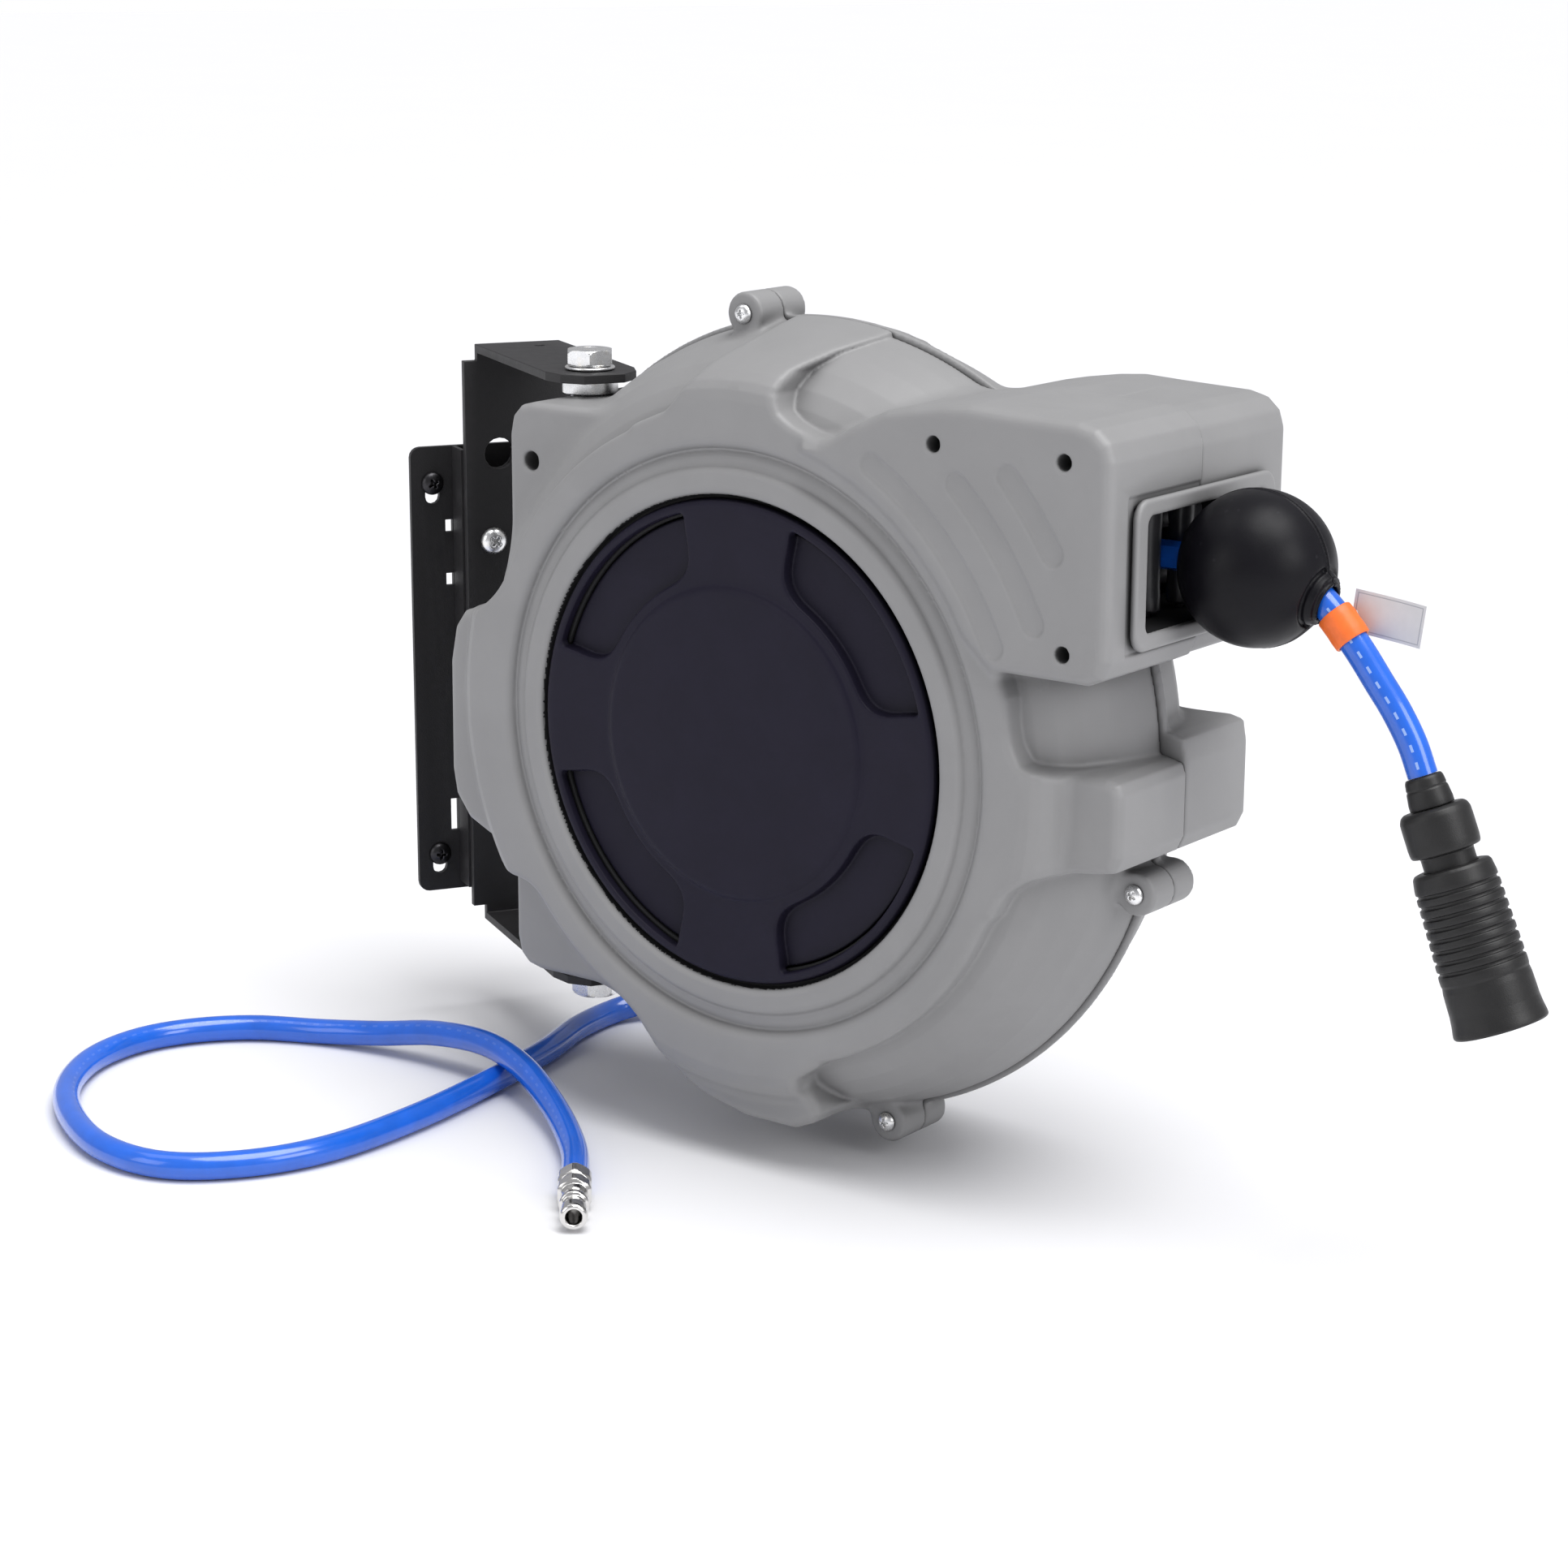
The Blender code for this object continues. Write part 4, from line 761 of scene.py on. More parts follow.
    # hollow inside
    cav = F.revolve([(0, -15), (165.8, -15), (165.8, 2), (163.4, 12), (160.0, 23), (154.2, 33.4), (147.4, 41.4), (140.6, 46.6),
                     (132.0, 50.6), (124, 52.6), (0, 53.4)], sign=s)
    d = np.maximum(d, -cav)
    del cav
    inner = arc_pts(137.5, 68, 27, 8) + [(128, 54.8), (181.0, 54.8), (181.0, 139.5), (174.5, 146.0), (118, 149.0), (80, 142.5), (60, 133.0)]
    y0, y1 = span(63.4, 16.0)
    d = np.maximum(d, -F.outline(inner, y0, y1, 0))
    d = np.maximum(d, -F.outline([(155.5, 65.5), (220, 65.5), (220, 118.5), (155.5, 118.5)], *span(48.5, 17.0), 0))
    # a shallow land round the mouth
    d = np.maximum(d, -F.outline([(185.7, 60.9), (192, 60.9), (192, 123.1), (185.7, 123.1)], *span(53.6, 17.0), 0))
    if front:
        d = np.maximum(d, -F.disc((0, 0), 98.0, -90, -40))
        # curved fields pressed into the box's face
        for rad, a0, a1 in ((146.6, 24.2, 59.6), (168.6, 25.2, 46.8), (189.6, 32.0, 42.6)):
            am = np.clip(F.A2, a0, a1)
            cx, cz = rad * np.cos(np.radians(am)), rad * np.sin(np.radians(am))
            dd = (np.sqrt((F.X2 - cx) ** 2 + (F.Z2 - cz) ** 2) - 4.9).astype(np.float32)
            cut = F.extrude(dd, -90, -66.8, 0)
            d = smax(d, -cut, 0.9)
        wells = ((104.0, 137.8), (165.2, 136.6), (166.2, 61.6))
        for c in wells:
            d = np.minimum(d, F.disc(c, 6.6, -67.0, -50.0))
        for c in wells:
            d = smax(d, -F.disc(c, 3.3, -90, -54.0), 1.1)
        c = (-131.0, 104.2)
        d = smax(d, -F.disc(c, 4.2, -90, -30.0), 1.1)
    else:
        d = np.maximum(d, -F.disc((0, 0), 8.4, 30, 90))
        for c in ((104.0, 137.8), (165.2, 136.6), (166.2, 61.6)):
            d = smax(d, -F.disc(c, 3.3, 62.0, 90), 1.1)
        # stiffening ribs on the back
        for k in range(8):
            a = math.radians(22.5 + 45 * k)
            ca, sa = math.cos(a), math.sin(a)
            u = F.X2 * ca + F.Z2 * sa
            w = np.abs(-F.X2 * sa + F.Z2 * ca)
            dd = np.maximum(np.maximum(36.0 - u, u - 98.0), w - 1.5).astype(np.float32)
            d = smin(d, F.extrude(dd, 50, 62.2, 0.6), 2.0)
    # seats for the pivot bushes and the boss holes
    for k in (-1, 1):
        z0, z1 = (102.0, 160.0) if k > 0 else (-160.0, -102.0)
        dx = np.sqrt((F.ax[0][:, None] + 130.6) ** 2 + F.ax[1][None, :] ** 2) - 9.2
        dz = np.maximum(z0 - F.ax[2], F.ax[2] - z1)
        d = np.maximum(d, -np.maximum(dx[:, :, None], dz[None, None, :]).astype(np.float32))
    for ang in (100, -15, -74):
        c, q = math.cos(math.radians(ang)), math.sin(math.radians(ang))
        d = np.maximum(d, -F.disc((176.8 * c, 176.8 * q), 2.5, *((-90, 20) if front else (-20, 13))))
    # the seam plane, with a fine chamfer
    d = smax(d, (F.y + 0.06 if front else 0.06 - F.y) + 0 * d[:, :1, :], 0.7)
    return F.mesh(d, name, M_REEL, thin)


hf = 0.88
hr = 1.20
front_ob = finish_piece("casing_front", casing("casing_front", -1, hf, 0.34), "casing_grey", "casing",
                        "front_shell")
front_ob.data.materials.append(M["dark_inside"])
# painted shade: the casing faces round the cover recess and inside it take the near-black dark_inside material,
# standing in for the shade in the gap
inv_ = M_REEL.inverted()
for p in front_ob.data.polygons:
    c_ = inv_ @ p.center
    if c_.x * c_.x + c_.z * c_.z < 0.1059 ** 2 and c_.y > -0.0625:
        p.material_index = 1
rear_ob = finish_piece("casing_rear", casing("casing_rear", 1, hr, 0.42), "casing_grey", "casing",
                       "rear_shell")


# ------------------------------------------------------------------ front cover
def cover(h, thin):
    F = Field((-107, -67, -107), (107, -54, 107), h)
    d = F.revolve([(0, 56.6), (97.4, 56.6), (97.4, 59.35), (104.3, 59.35), (103.9, 61.2), (103.1, 62.8), (101.8, 63.6),
                   (99.0, 63.7), (69.5, 63.1), (67.6, 63.2), (66.6, 64.0), (65.0, 64.5), (40, 64.8), (0, 64.9)], sign=-1)
    # four sunken fields between the spokes
    for q in range(4):
        a0, a1 = 15.0 + 90 * q, 72.5 + 90 * q
        a = math.radians((a0 + a1) / 2)
        half = math.radians((a1 - a0) / 2)
        u = F.X2 * math.cos(a) + F.Z2 * math.sin(a)
        w = np.abs(-F.X2 * math.sin(a) + F.Z2 * math.cos(a))
        side = (w * math.cos(half) - u * math.sin(half))          # beyond the spoke's edge
        side = side + 1.5 * np.sin(np.clip((F.R2 - 66) / 34, 0, 1) * math.pi)
        inner = 71.5 - F.R2
        outer = F.R2 - 99.6
        f = smax(smax(side, inner, 16.0), outer, 3.0).astype(np.float32)
        y1 = -58.2
        # sloped walls: the field widens towards the front
        cut = np.maximum(f[:, None, :] + (F.y + 64.0) * 0.18, F.y - y1)
        d = smax(d, -cut, 0.9)
    # shallow step round the middle disc
    return F.mesh(d, "reel_cover", M_REEL, thin)


cover_ob = finish_piece("reel_cover", cover(0.62, 0.45), "cover_navy", "casing",
                        "front_cover")


# ------------------------------------------------------------------ ball stop
BALL_R = 0.0315
BC = Vector((0.2126, 0, HOSE_Z - 0.0007))
TILT = math.radians(-17)
AXB = Vector((math.cos(TILT), 0, math.sin(TILT)))


def ball(h, s):
    """one half of the ball, with its collar, seam lip and screw wells (rear half)"""
    F = Field((178, -36 if s < 0 else -2, 55), (250, 2 if s < 0 else 36, 128), h)
    c = np.array((BC.x, BC.y, BC.z)) * 1000
    ux, uz = AXB.x, AXB.z
    X = F.ax[0][:, None, None] - c[0]
    Y = F.ax[1][None, :, None] - c[1]
    Z = F.ax[2][None, None, :] - c[2]
    rr = np.sqrt(X * X + Y * Y + Z * Z)
    d = rr - 31.4
    along = X * ux + Z * uz
    rad = np.sqrt(np.maximum(rr * rr - along * along, 0))
    # collar where the hose leaves, with two rings
    d = smin(d, np.maximum(rad - 10.2, np.abs(along - 28.0) - 4.0), 3.0)
    d = smin(d, np.maximum(rad - 8.4, np.abs(along - 29.5) - 4.1), 1.0)
    d = smax(d, -(np.sqrt((rad - 11.9) ** 2 + (along - 28.4) ** 2) - 0.9), 1.2)
    # the front half overlaps the joint as a fine raised line
    lip = np.maximum(rr - 31.75, np.abs(Y) - 1.1)
    d = smin(d, lip, 0.6)
    d = smax(d, (Y + 0.12 if s < 0 else 0.12 - Y), 0.5)
    # bore along the hose
    P = np.array([(150.0, 0.0, HOSE_Z * 1000)] + [tuple(p * 1000) for p in tp[:16]])
    best = np.full(rr.shape, 1e9, dtype=np.float32)
    for a, b in zip(P[:-1], P[1:]):
        e = b - a
        q = (((X + c[0]) - a[0]) * e[0] + ((Z + c[2]) - a[2]) * e[2]) / (e @ e)
        q = np.clip(q, 0, 1)
        dd = (X + c[0] - a[0] - q * e[0]) ** 2 + (Y + c[1]) ** 2 + (Z + c[2] - a[2] - q * e[2]) ** 2
        best = np.minimum(best, dd)
    d = smax(d, -(np.sqrt(best) - 6.5), 0.8)
    # flared entry
    d = smax(d, -(rad - 6.5 - np.maximum(0, -along - 25.5) * 0.8), 1.0)
    for k in (-1, 1):
        px, pz = X + 2.0, Z - k * 18.5
        rs = np.sqrt(px * px + pz * pz)
        d = np.maximum(d, -np.maximum(rs - 2.2, -(Y + 19.0)))
        if s > 0:
            d = smax(d, -np.maximum(rs - 4.0, 12.0 - Y), 0.6)
    return F.mesh(d.astype(np.float32), "ball_%s" % ("front" if s < 0 else "rear"), M_REEL, 0.8)


hb = 0.5
ball_front = finish_piece("ball_front", ball(hb, -1), "ball_rubber", "hose_end", "ball_half_front")
ball_rear = finish_piece("ball_rear", ball(hb, 1), "ball_rubber", "hose_end", "ball_half_rear")

# ------------------------------------------------------------------ band and tag on the hose
k0 = min(range(len(tp)), key=lambda i: (tp[i] - Vector((0.2520, 0, 0.0726))).length)
bd = (tp[k0 + 1] - tp[k0 - 1]).normalized()
bc = tp[k0]
bverts, bfaces = [], []
ro, ri, segb = 0.0074, 0.0061, 48
stations = [(-0.0066, ri + 0.0003), (-0.0066, ro - 0.0003), (-0.0062, ro), (-0.0030, ro + 0.0001), (0.0, ro), (0.0030, ro + 0.0001),
            (0.0062, ro), (0.0066, ro - 0.0003), (0.0066, ri + 0.0003)]
a_, u_, v_ = basis(bd)
for t_, rr_ in stations + [(0.0060, ri), (-0.0060, ri)]:
    # the band follows the hose's bend
    j = min(max(k0 + t_ / 0.0025, 0), len(tp) - 1.001)
    c_ = tp[int(j)].lerp(tp[int(j) + 1], j - int(j))
    dn = (tp[min(int(j) + 2, len(tp) - 1)] - tp[max(int(j) - 1, 0)]).normalized()
    aa, uu, vv = basis(dn)
    for q in range(segb):
        w = 2 * math.pi * q / segb
        wrinkle = 0.00006 * math.sin(5 * w + t_ * 900) + 0.00004 * math.sin(11 * w)
        bverts.append(c_ + (uu * math.cos(w) + vv * math.sin(w)) * (rr_ + (wrinkle if rr_ > ri + 0.0005 else 0)))
nb = len(stations) + 2
for i in range(nb):
    for q in range(segb):
        n_ = (q + 1) % segb
        j_ = (i + 1) % nb
        bfaces.append((i * segb + q, i * segb + n_, j_ * segb + n_, j_ * segb + q))
band_ob = finish_piece("hose_band", outward(mesh_from("hose_band", bverts, bfaces, M_REEL)), "band_orange", "hose_end",
                       "marker_band", angle=40)

# blank card tag: thin, slightly curled, with a tie that goes back under the band
tag_mat = M["tag_white"]
nt = tag_mat.node_tree
N, L = nt.nodes, nt.links
bs = N["Principled BSDF"]
src = bs.inputs["Base Color"].links[0].from_socket
uvn = N.new("ShaderNodeUVMap")
uvn.uv_map = "UVMap"
sx = N.new("ShaderNodeSeparateXYZ")
L.new(uvn.outputs["UV"], sx.inputs["Vector"])


def mnode(op, a, b=None):
    x = N.new("ShaderNodeMath")
    x.operation = op
    for i, q in enumerate((a, b)):
        if q is None:
            continue
        if isinstance(q, (int, float)):
            x.inputs[i].default_value = q
        else:
            L.new(q, x.inputs[i])
    return x.outputs["Value"]


ax_ = mnode("ABSOLUTE", mnode("SUBTRACT", sx.outputs["X"], 0.5))
ay_ = mnode("ABSOLUTE", mnode("SUBTRACT", sx.outputs["Y"], 0.5))
edge_in = mnode("MAXIMUM", mnode("MULTIPLY", ax_, 30.0), mnode("ADD", mnode("MULTIPLY", ay_, 17.0), 6.5))
line = mnode("MULTIPLY", mnode("GREATER_THAN", edge_in, 13.55), mnode("LESS_THAN", edge_in, 13.95))
mxn = N.new("ShaderNodeMix")
mxn.data_type = "RGBA"
mxn.inputs[7].default_value = (0.30, 0.31, 0.34, 1)
L.new(mnode("MULTIPLY", line, 0.8), mxn.inputs[0])
L.new(src, mxn.inputs[6])
L.new(mxn.outputs[2], bs.inputs["Base Color"])

tag_o = Vector(tp_cad[min(range(len(tp_cad)), key=lambda i: (tp_cad[i] - Vector((0.2520, 0, 0.0726))).length)]) \
    + Vector((-0.0010, 0.0086, 0.0060))
ca_, sa_ = math.cos(math.radians(7)), math.sin(math.radians(7))
tv, tf, tuv = [], [], []
nx, nz = 24, 12
for side_ in (0, 1):
    for i in range(nx + 1):
        for j in range(nz + 1):
            u, w = i / nx, j / nz
            x, z = 0.030 * u, -0.0085 + 0.017 * w
            y = 0.0011 * math.sin(u * 2.6 - 0.4) + 0.0005 * (w - 0.5) * math.sin(3 * u) + (0.00016 if side_ else -0.00016)
            tv.append(tag_o + Vector((ca_ * x + sa_ * z, y, -sa_ * x + ca_ * z)))
stride = (nx + 1) * (nz + 1)


def tid(side_, i, j):
    return side_ * stride + i * (nz + 1) + j


for side_ in (0, 1):
    for i in range(nx):
        for j in range(nz):
            q = [(i, j), (i + 1, j), (i + 1, j + 1), (i, j + 1)]
            if side_:
                q.reverse()
            tf.append(tuple(tid(side_, a, b) for a, b in q))
            tuv += [(a / nx, b / nz) for a, b in q]
loop = [(i, 0) for i in range(nx)] + [(nx, j) for j in range(nz)] + [(i, nz) for i in range(nx, 0, -1)] + \
    [(0, j) for j in range(nz, 0, -1)]
for a, b in zip(loop, loop[1:] + loop[:1]):
    tf.append((tid(0, *a), tid(1, *a), tid(1, *b), tid(0, *b)))
    tuv += [(0.5, 0.5)] * 4
tme = mesh_from("blank_tag", tv, tf, M_REEL)
lay_ = tme.uv_layers.new(name="UVMap")
lay_.data.foreach_set("uv", np.array(tuv, dtype=np.float32).ravel())
tag_ob = finish_piece("blank_tag", outward(tme), "tag_white", "hose_end", "hose_tag", angle=40)
# the tag's short tie: a flat loop from the tag to the band
tie = [Vector(tag_o) + Vector((0.0012, 0.0002, 0.0)), bc + Vector((0.0010, 0.0080, 0.0040)), bc + Vector((0.0003, 0.0077, 0.0012)),
       bc + Vector((-0.0010, 0.0072, -0.0020))]
tie_pts, _ = catmull(tie, 0.0008)
tie_ob = tube("tag_tie", [R(p) for p in tie_pts], 0.00055, "tag_white", "hose_end", seg=10)

# ------------------------------------------------------------------ coupler
neck = turned("coupler_neck_boot", [(0.0, 0.0), (0.0070, 0.0), (0.0076, 0.0012), (0.0080, 0.0040), (0.0077, 0.0046), (0.0082, 0.0052),
                                    (0.0088, 0.0098), (0.0088, 0.0122), (0, 0.0122)], CD, C0, "coupler_black", "hose_end",
              replaces="coupler_neck", seg=64, r=0.0005)
collar = turned("coupler_collar_knurled",
                [(0.0, 0.0125), (0.0118, 0.0125), (0.0132, 0.0136), (0.0140, 0.0156), (0.0141, 0.0185), (0.0141, 0.0266),
                 (0.0139, 0.0290), (0.0134, 0.0300), (0.0108, 0.0304), (0.0105, 0.0310), (0.0105, 0.0480), (0.0, 0.0480)],
                CD, C0, "coupler_black", "hose_end", replaces="coupler_collar", seg=96, r=0.0006)
core = turned("coupler_core_turned",
              [(0.0, 0.0483), (0.0104, 0.0483), (0.0104, 0.0640), (0.0100, 0.0646), (0.0100, 0.0662), (0.0104, 0.0668), (0.0104, 0.0762),
               (0.0095, 0.0780), (0.0068, 0.0780), (0.0060, 0.0768), (0.0060, 0.0720), (0.0064, 0.0714), (0.0064, 0.0690),
               (0.0060, 0.0684), (0.0060, 0.0560), (0.0, 0.0560)],
              CD, C0, "nickel", "hose_end", replaces="coupler_core", seg=72, r=0.0003)
# grip: tapered sleeve with rounded grooves and a flared mouth
gp = [(0.0110, 0.0362), (0.0132, 0.0360), (0.0148, 0.0364), (0.0156, 0.0376), (0.0160, 0.0400), (0.0163, 0.0420)]
z0, z1, n = 0.0435, 0.0785, 8
pitch = (z1 - z0) / n


def grip_r(z):
    return 0.0163 + (0.0178 - 0.0163) * (z - 0.042) / (0.090 - 0.042)


for i in range(n):
    a = z0 + i * pitch
    R0 = grip_r(a)
    gp += [(R0, a), (R0 - 0.00075, a + 0.00035), (R0 - 0.00085, a + 0.0009), (R0 - 0.00070, a + 0.00145),
           (R0 + 0.00010, a + 0.0018), (R0 + 0.00022, a + pitch * 0.72)]
gp += [(grip_r(0.0795), 0.0795), (grip_r(0.0805) - 0.0003, 0.0805), (grip_r(0.083), 0.0830), (grip_r(0.088), 0.0880), (0.0178, 0.0920), (0.0182, 0.0960),
       (0.0187, 0.0990), (0.0188, 0.1004), (0.0183, 0.1012), (0.0172, 0.1012), (0.0164, 0.1000), (0.0158, 0.0940),
       (0.0153, 0.0850), (0.0148, 0.0835), (0.0112, 0.0822), (0.0110, 0.0815)]
grip = turned("coupler_grip_ribbed", gp, CD, C0, "coupler_black", "coupler_sleeve", replaces="coupler_grip",
              seg=120, r=0.0003)

# ------------------------------------------------------------------ supply plug
M_up = Vector((0, 0, 0.0012))


def hexturn(name, profile, across, axis, at, mat, body, M4, replaces, round_to=None, rot=0.0, r=0.0003, seg=120):
    """turned outline cut to a hexagon between the heights of round_to"""
    lo_, hi_ = round_to

    def lim(t, h):
        if lo_ <= h <= hi_:
            a = ((t + rot) % (math.pi / 3)) - math.pi / 6
            return across / 2 / math.cos(a)
        return 1.0
    return turned(name, profile, axis, at, mat, body, M4=M4, seg=seg, replaces=replaces, r=r, limit=lim, angle=28)


plug_nut = hexturn("plug_union_nut", [(0, 0), (0.0066, 0), (0.0070, 0.0004), (0.0077, 0.0012), (0.00785, 0.0024), (0.00785, 0.0080),
                                      (0.0077, 0.0092), (0.0070, 0.0100), (0.0066, 0.0105), (0, 0.0105)], 0.0143, pd,
                   nut0 + M_up, "nickel", "casing", M_REEL, "plug_nut", (0.0002, 0.0103))
plug_nip = hexturn("plug_nipple_turned",
                   [(0, 0), (0.0060, 0), (0.0060, 0.0018), (0.0070, 0.0021), (0.0077, 0.0028), (0.0078, 0.0036), (0.0078, 0.0080),
                    (0.0076, 0.0088), (0.0066, 0.0094), (0.0058, 0.0098), (0.0054, 0.0112), (0.0050, 0.0122), (0.0050, 0.0168),
                    (0.0056, 0.0172), (0.0063, 0.0178), (0.0064, 0.0184), (0.0064, 0.0203), (0.0060, 0.0209), (0.0050, 0.0214),
                    (0.0047, 0.0220), (0.0047, 0.0266), (0.0052, 0.0271), (0.0059, 0.0275), (0.0060, 0.0282), (0.0059, 0.0325),
                    (0.0056, 0.0338), (0.0048, 0.0345), (0.0038, 0.0345), (0.0033, 0.0338), (0.0032, 0.0325), (0.0032, 0.0060), (0, 0.0060)],
                   0.0142, pd, nip0, "nickel", "casing", M_REEL, "plug_nipple", (0.0019, 0.0092))

# ------------------------------------------------------------------ mouth frame and rollers
def mouth(h):
    F = Field((149, -54, 61), (192, 54, 123), h)
    yy = F.ax[1][:, None]
    zz = F.ax[2][None, :]

    def rrect(hw, hh, rad):
        qx = np.abs(yy) - hw + rad
        qz = np.abs(zz - 92.0) - hh + rad
        return (np.minimum(np.maximum(qx, qz), 0) + np.sqrt(np.maximum(qx, 0) ** 2 + np.maximum(qz, 0) ** 2) - rad)[None]
    x = F.ax[0][:, None, None]
    sleeve = np.maximum(rrect(48.1, 26.1, 4.0), np.maximum(150.0 - x, x - 189.0))
    w = np.maximum(rrect(52.5, 30.0, 8.0) + 1.4, np.maximum(186.8 - x, x - 190.1) + 1.4)
    wx = rrect(52.5, 30.0, 8.0) + 1.5 + 0 * x
    wy = np.maximum(186.8 - x, x - 190.1) + 1.5 + 0 * wx
    lip = np.minimum(np.maximum(wx, wy), 0) + np.sqrt(np.maximum(wx, 0) ** 2 + np.maximum(wy, 0) ** 2) - 1.5
    d = np.minimum(sleeve + 0 * lip, lip)
    d = smax(d, -(rrect(44.6, 23.3, 4.0) + 0 * x), 1.4)
    for k in (-1, 1):
        rr = np.sqrt((x - 170.0) ** 2 + (yy[None] - k * 12.5) ** 2) - 1.75
        d = np.maximum(d, -rr)
        rr = np.sqrt((x - 156.5) ** 2 + (zz[None] - (92.0 + k * 11.5)) ** 2) - 1.75
        d = np.maximum(d, -rr)
    me = F.mesh(d.astype(np.float32), "mouth_surround", M_REEL, 0.6)
    return me


mouth_me = mouth(0.6)
mouth_ob = finish_piece("mouth_surround", mouth_me, ["casing_grey", "dark_inside"], "casing", "mouth_frame")
inv = M_REEL.inverted()
# painted shade: the inside of the mouth sleeve takes the near-black dark_inside material, standing in for the shade in
# the opening
for p in mouth_me.polygons:
    c = inv @ p.center
    inside_ = abs(c.y) < 0.0459 and abs(c.z - 0.092) < 0.0246
    p.material_index = 1 if (inside_ and c.x < 0.1885) else 0
for k, nm in ((-1, "left"), (1, "right")):
    turned("roller_" + nm, [(0, -0.0256), (0.0013, -0.0256), (0.0015, -0.0253), (0.0015, -0.0216), (0.0048, -0.0214), (0.0055, -0.0205),
                            (0.0055, -0.0150), (0.0052, -0.0110), (0.0052, 0.0110), (0.0055, 0.0150), (0.0055, 0.0205), (0.0048, 0.0214), (0.0015, 0.0216),
                            (0.0015, 0.0253), (0.0013, 0.0256), (0, 0.0256)], (0, 0, 1), (0.1700, k * 0.0125, 0.092),
           "roller_plastic", "roller_l" if k < 0 else "roller_r", replaces="guide_roller_" + nm, seg=48)
for k, nm in ((-1, "lower"), (1, "upper")):
    turned("roller_" + nm, [(0, -0.0476), (0.0013, -0.0476), (0.0015, -0.0472), (0.0015, -0.0436), (0.0043, -0.0434), (0.0050, -0.0428),
                            (0.0050, -0.0180), (0.0047, -0.0150), (0.0047, 0.0150), (0.0050, 0.0180), (0.0050, 0.0428),
                            (0.0043, 0.0434), (0.0015, 0.0436), (0.0015, 0.0472), (0.0013, 0.0476), (0, 0.0476)], (0, 1, 0),
           (0.1565, 0, HOSE_Z + k * 0.0115), "roller_plastic", "roller_d" if k < 0 else "roller_u",
           replaces="guide_roller_" + nm, seg=48)

# ------------------------------------------------------------------ bracket, bevelled sheet steel
def refine(name, node, width, body, slot, segs=2, angle=30.0, weld=2e-5):
    """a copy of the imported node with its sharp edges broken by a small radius"""
    src = frame["nodes"][node]
    bm = bmesh.new()
    bm.from_mesh(src.data)
    bmesh.ops.remove_doubles(bm, verts=bm.verts, dist=weld)
    bmesh.ops.dissolve_limit(bm, angle_limit=math.radians(0.6), verts=bm.verts, edges=bm.edges)
    me = bpy.data.meshes.new(name)
    bm.to_mesh(me)
    bm.free()
    me.transform(src.matrix_world)
    ob = bpy.data.objects.new(name, me)
    scene.collection.objects.link(ob)
    mod = ob.modifiers.new("edge", "BEVEL")
    mod.width, mod.segments = width, segs
    mod.limit_method = "ANGLE"
    mod.angle_limit = math.radians(angle)
    mod.use_clamp_overlap = True
    mod.harden_normals = False
    bpy.context.view_layer.update()
    out = bpy.data.meshes.new_from_object(ob.evaluated_get(bpy.context.evaluated_depsgraph_get()))
    bpy.data.objects.remove(ob, do_unlink=True)
    out.name = name
    for p in out.polygons:
        p.material_index = 0
    return finish_piece(name, out, slot, body, node, smooth=False)


refine("wall_plate_steel", "wall_plate", 0.0005, "bracket", "bracket_black")
refine("channel_steel", "plate_channel", 0.0008, "bracket", "bracket_black", 3)
refine("swivel_bracket_steel", "swivel_bracket", 0.0009, "bracket", "bracket_black", 3)

# pivot bolts with a washer face and a chamfered hexagon, washers with broken edges
EAR_TOP = 0.1405
for s, nm in ((1, "top"), (-1, "bottom")):
    zt_ = EAR_TOP if s > 0 else EAR_TOP + 0.0005
    a = zt_ + 0.0003
    b = a + 0.0014 + 0.0003
    turned("washer_" + nm, [(0.0054, 0), (0.0108, 0), (0.0112, 0.0004), (0.0112, 0.0010), (0.0108, 0.0014), (0.0054, 0.0014)],
           (0, 0, s), (0, 0, s * a), "zinc_plate", "bracket", M4=M_BASE, replaces="bolt_washer_" + nm,
           seg=72, r=0.0002)
    turned("spacer_" + nm, [(0.0052, 0), (0.0122, 0), (0.0125, 0.0004), (0.0125, zt_ - 0.0043 - 0.1303 - 0.0004),
                            (0.0122, zt_ - 0.0043 - 0.1303), (0.0052, zt_ - 0.0043 - 0.1303)],
           (0, 0, s), (0, 0, s * 0.1303), "zinc_plate", "bracket", M4=M_BASE, replaces="spacer_washer_" + nm,
           seg=72, r=0.0002)
    h0 = b - 0.110
    hexturn("pivot_bolt_hex_" + nm,
            [(0, 0), (0.0040, 0), (0.0046, 0.0007), (0.0046, h0), (0.0096, h0), (0.0098, h0 + 0.0003), (0.0098, h0 + 0.0007),
             (0.01045, h0 + 0.0009), (0.0113, h0 + 0.0012), (0.0113, h0 + 0.0056), (0.01075, h0 + 0.0066), (0.0099, h0 + 0.0072),
             (0.0090, h0 + 0.0074), (0.0060, h0 + 0.0074), (0.0056, h0 + 0.0071), (0, h0 + 0.0070)], 0.0196, (0, 0, s), (0, 0, s * 0.110),
            "zinc_plate", "bracket", M_BASE, "pivot_bolt_" + nm, (h0 + 0.0008, h0 + 0.0073), rot=math.radians(20),
            r=0.0002, seg=144)


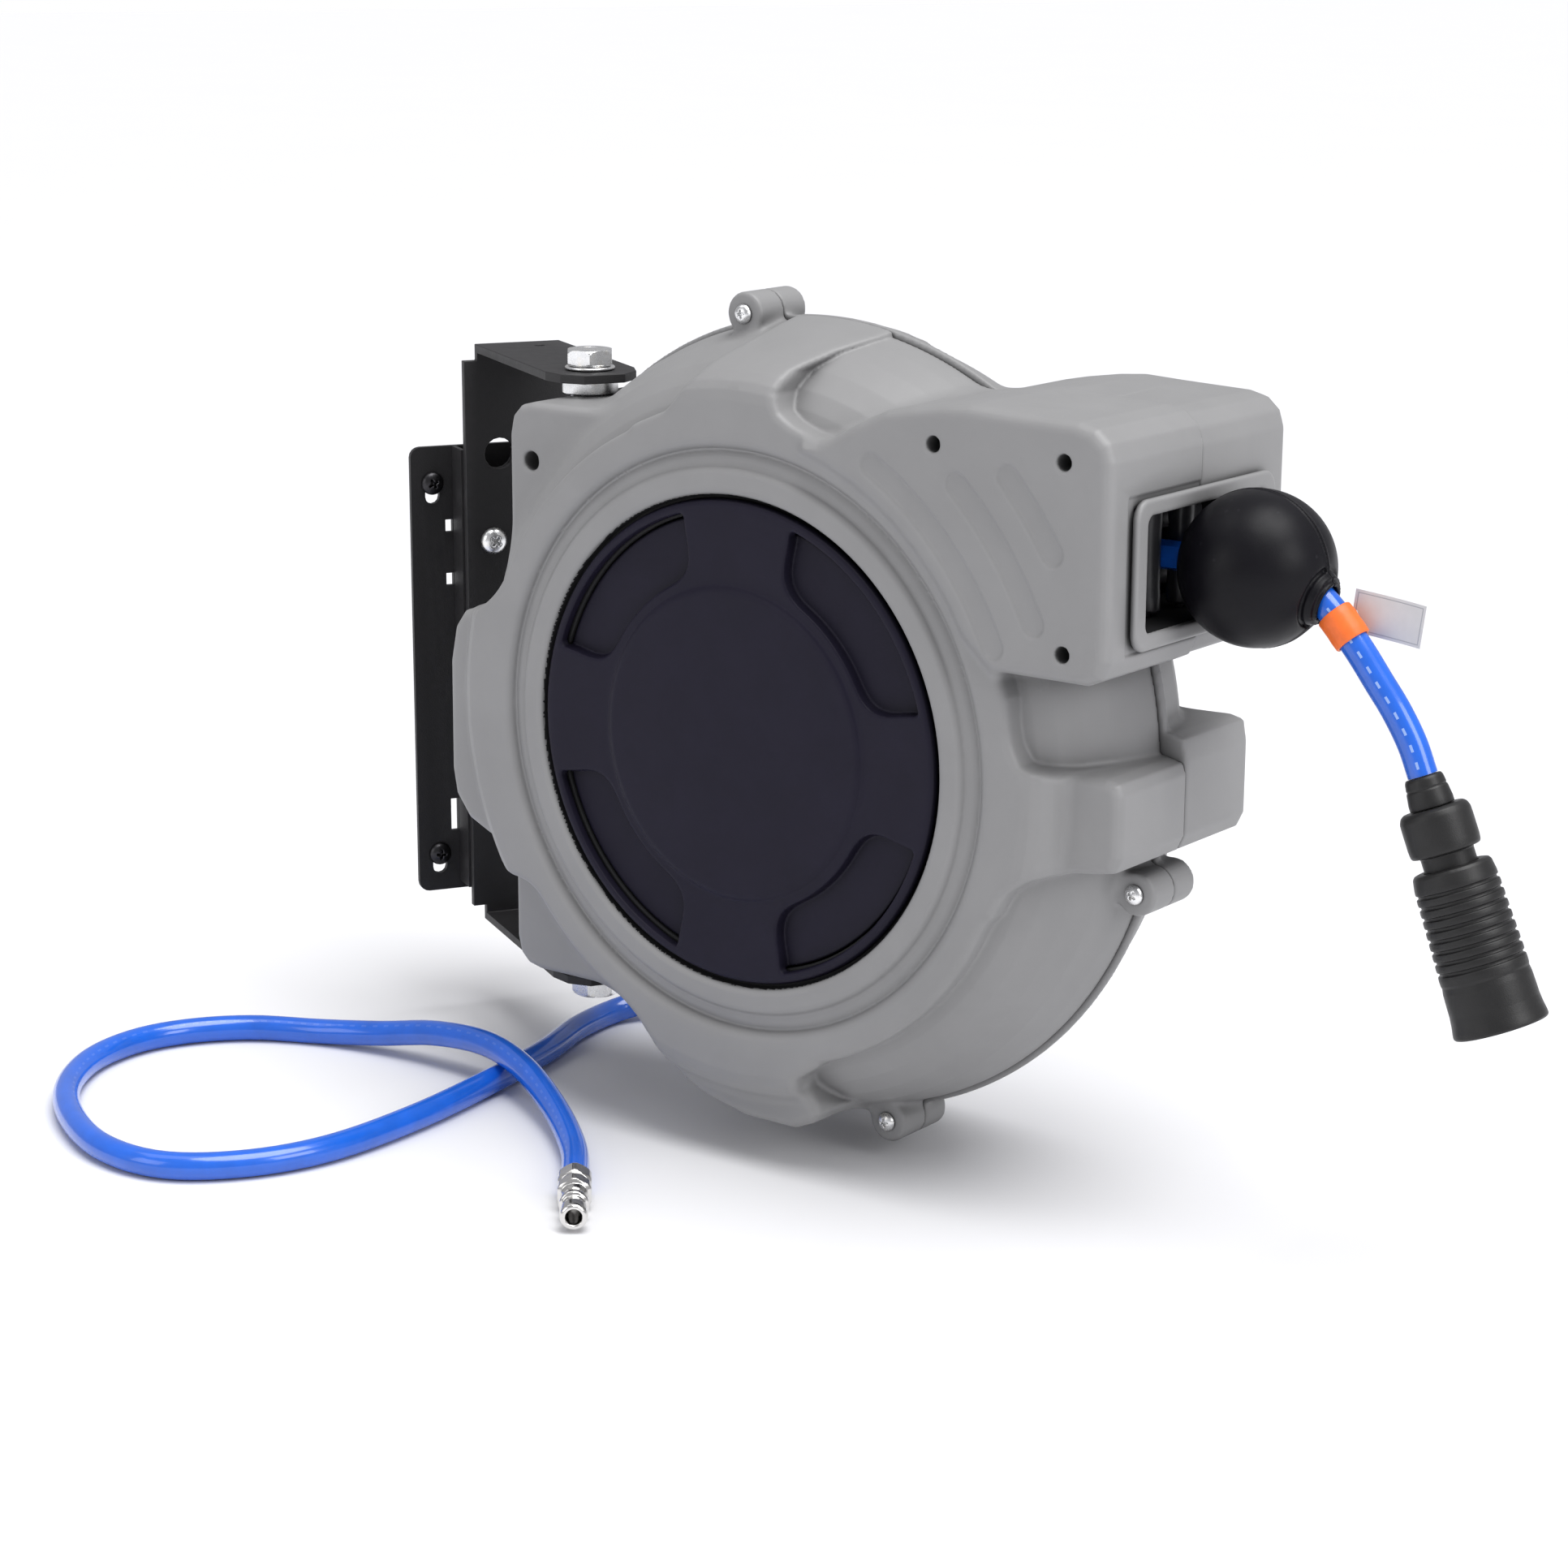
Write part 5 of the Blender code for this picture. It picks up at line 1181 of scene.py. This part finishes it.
def cross_screw(name, at, axis, head_r, head_h, shank_r, shank_l, mat, body, M4, node, recess=0.0019, arm=0.0011, dome=True, twist=0.3, h=None):
    """pan-head screw with a cross recess, modelled as a distance field along its own axis"""
    h = h or (head_r * 1000 / 16)
    Rr = head_r * 1000 + 0.8
    H0, H1 = -shank_l * 1000 - 0.8, head_h * 1000 + 0.8
    ax = np.arange(-Rr, Rr + h, h, dtype=np.float32)
    az_ = np.arange(H0, H1 + h, h, dtype=np.float32)
    X, Y, Z = np.meshgrid(ax, ax, az_, indexing="ij")
    r = np.sqrt(X * X + Y * Y)
    hr, hh = head_r * 1000, head_h * 1000
    rad = (hr * hr + hh * hh) / (2 * hh) * 1.25
    sph = np.sqrt(r * r + (Z - (hh - rad)) ** 2) - rad
    head = smax(smax(sph, r - hr, hh * 0.5), -Z, 0.3)
    shank = np.maximum(r - shank_r * 1000, np.maximum(Z - hh * 0.5, -shank_l * 1000 - Z))
    pitch_ = 1.1
    shank = shank + 0.12 * np.cos((Z / pitch_ + np.arctan2(Y, X) / (2 * math.pi)) * 2 * math.pi) * (Z < -0.4)
    d = np.minimum(head, shank)
    c, s_ = math.cos(twist), math.sin(twist)
    U, V = X * c + Y * s_, -X * s_ + Y * c
    a_m, rc = arm * 1000 / 2, recess * 1000
    zt2 = hh - Z
    taper = zt2 * 0.35
    armA = np.maximum(np.abs(U) - (a_m - taper * 0.2), np.abs(V) - (rc - taper))
    armB = np.maximum(np.abs(V) - (a_m - taper * 0.2), np.abs(U) - (rc - taper))
    rec = np.maximum(np.minimum(armA, armB), zt2 - hh * 0.75)
    cone = np.maximum(r - (a_m * 1.9 - zt2 * 0.6), zt2 - hh * 0.85)
    d = smax(d, -np.minimum(rec, cone), 0.12)
    g = vdb.FloatGrid(3.0)
    g.copyFromArray(np.ascontiguousarray(np.clip(d / h, -3, 3), dtype=np.float32))
    p, q = g.convertToQuads(isovalue=0.0)
    v = (p.astype(np.float64) * h + np.array([ax[0], ax[0], az_[0]])) / 1000.0
    me = bpy.data.meshes.new(name)
    A, U3, V3 = basis(axis)
    B3 = np.array([U3, V3, A])          # rows: local x, y, z
    w = v @ B3 + np.array(at)
    me.from_pydata(w.tolist(), [], q[:, ::-1].tolist())
    me.transform(M4)
    return finish_piece(name, outward(me), mat, body, node)


for i, (sy_, sz_) in enumerate([(a, b) for a in (-0.0385, 0.0385) for b in (0.073, -0.110)]):
    cross_screw("wall_screw_head_%d" % (i + 1), (-0.122 + 0.0033, sy_, sz_), (1, 0, 0), 0.0058, 0.0034, 0.0031, 0.0031,
                "black_screw", "bracket", M_BASE, "wall_screw_%d" % (i + 1), recess=0.0026, arm=0.0012, twist=0.5 + i)
cross_screw("lock_screw_head", (-0.104 + 0.0043, -0.0145, 0.047), (1, 0, 0), 0.0068, 0.0046, 0.0031, 0.0158, "zinc_plate",
            "bracket", M_BASE, "lock_screw", recess=0.0030, arm=0.0014, twist=0.9)
for i, ang in enumerate((100, -15, -74)):
    c_, q_ = math.cos(math.radians(ang)), math.sin(math.radians(ang))
    cross_screw("seam_screw_%d" % (i + 1), (0.1768 * c_, -0.0163, 0.1768 * q_), (0, -1, 0), 0.0044, 0.0028, 0.0021, 0.0276,
                "zinc_plate", "casing", M_REEL, "casing_screw_%d" % (i + 1), recess=0.0021, arm=0.0010, twist=0.2 + 0.8 * i)
for k, nm in ((-1, "lower"), (1, "upper")):
    cross_screw("ball_screw_head_" + nm, tuple(BC + Vector((-0.002, 0.0123, k * 0.0185))), (0, 1, 0), 0.0034, 0.0024, 0.0018, 0.0300,
                "zinc_plate", "hose_end", M_REEL, "ball_screw_" + nm, recess=0.0017, arm=0.0009, twist=0.4 + k)


# ------------------------------------------------------------------ hose tail points in the row frame (computed, not kept)
[tuple(R(p)) for p in catmull(tail, 0.006)[0]]
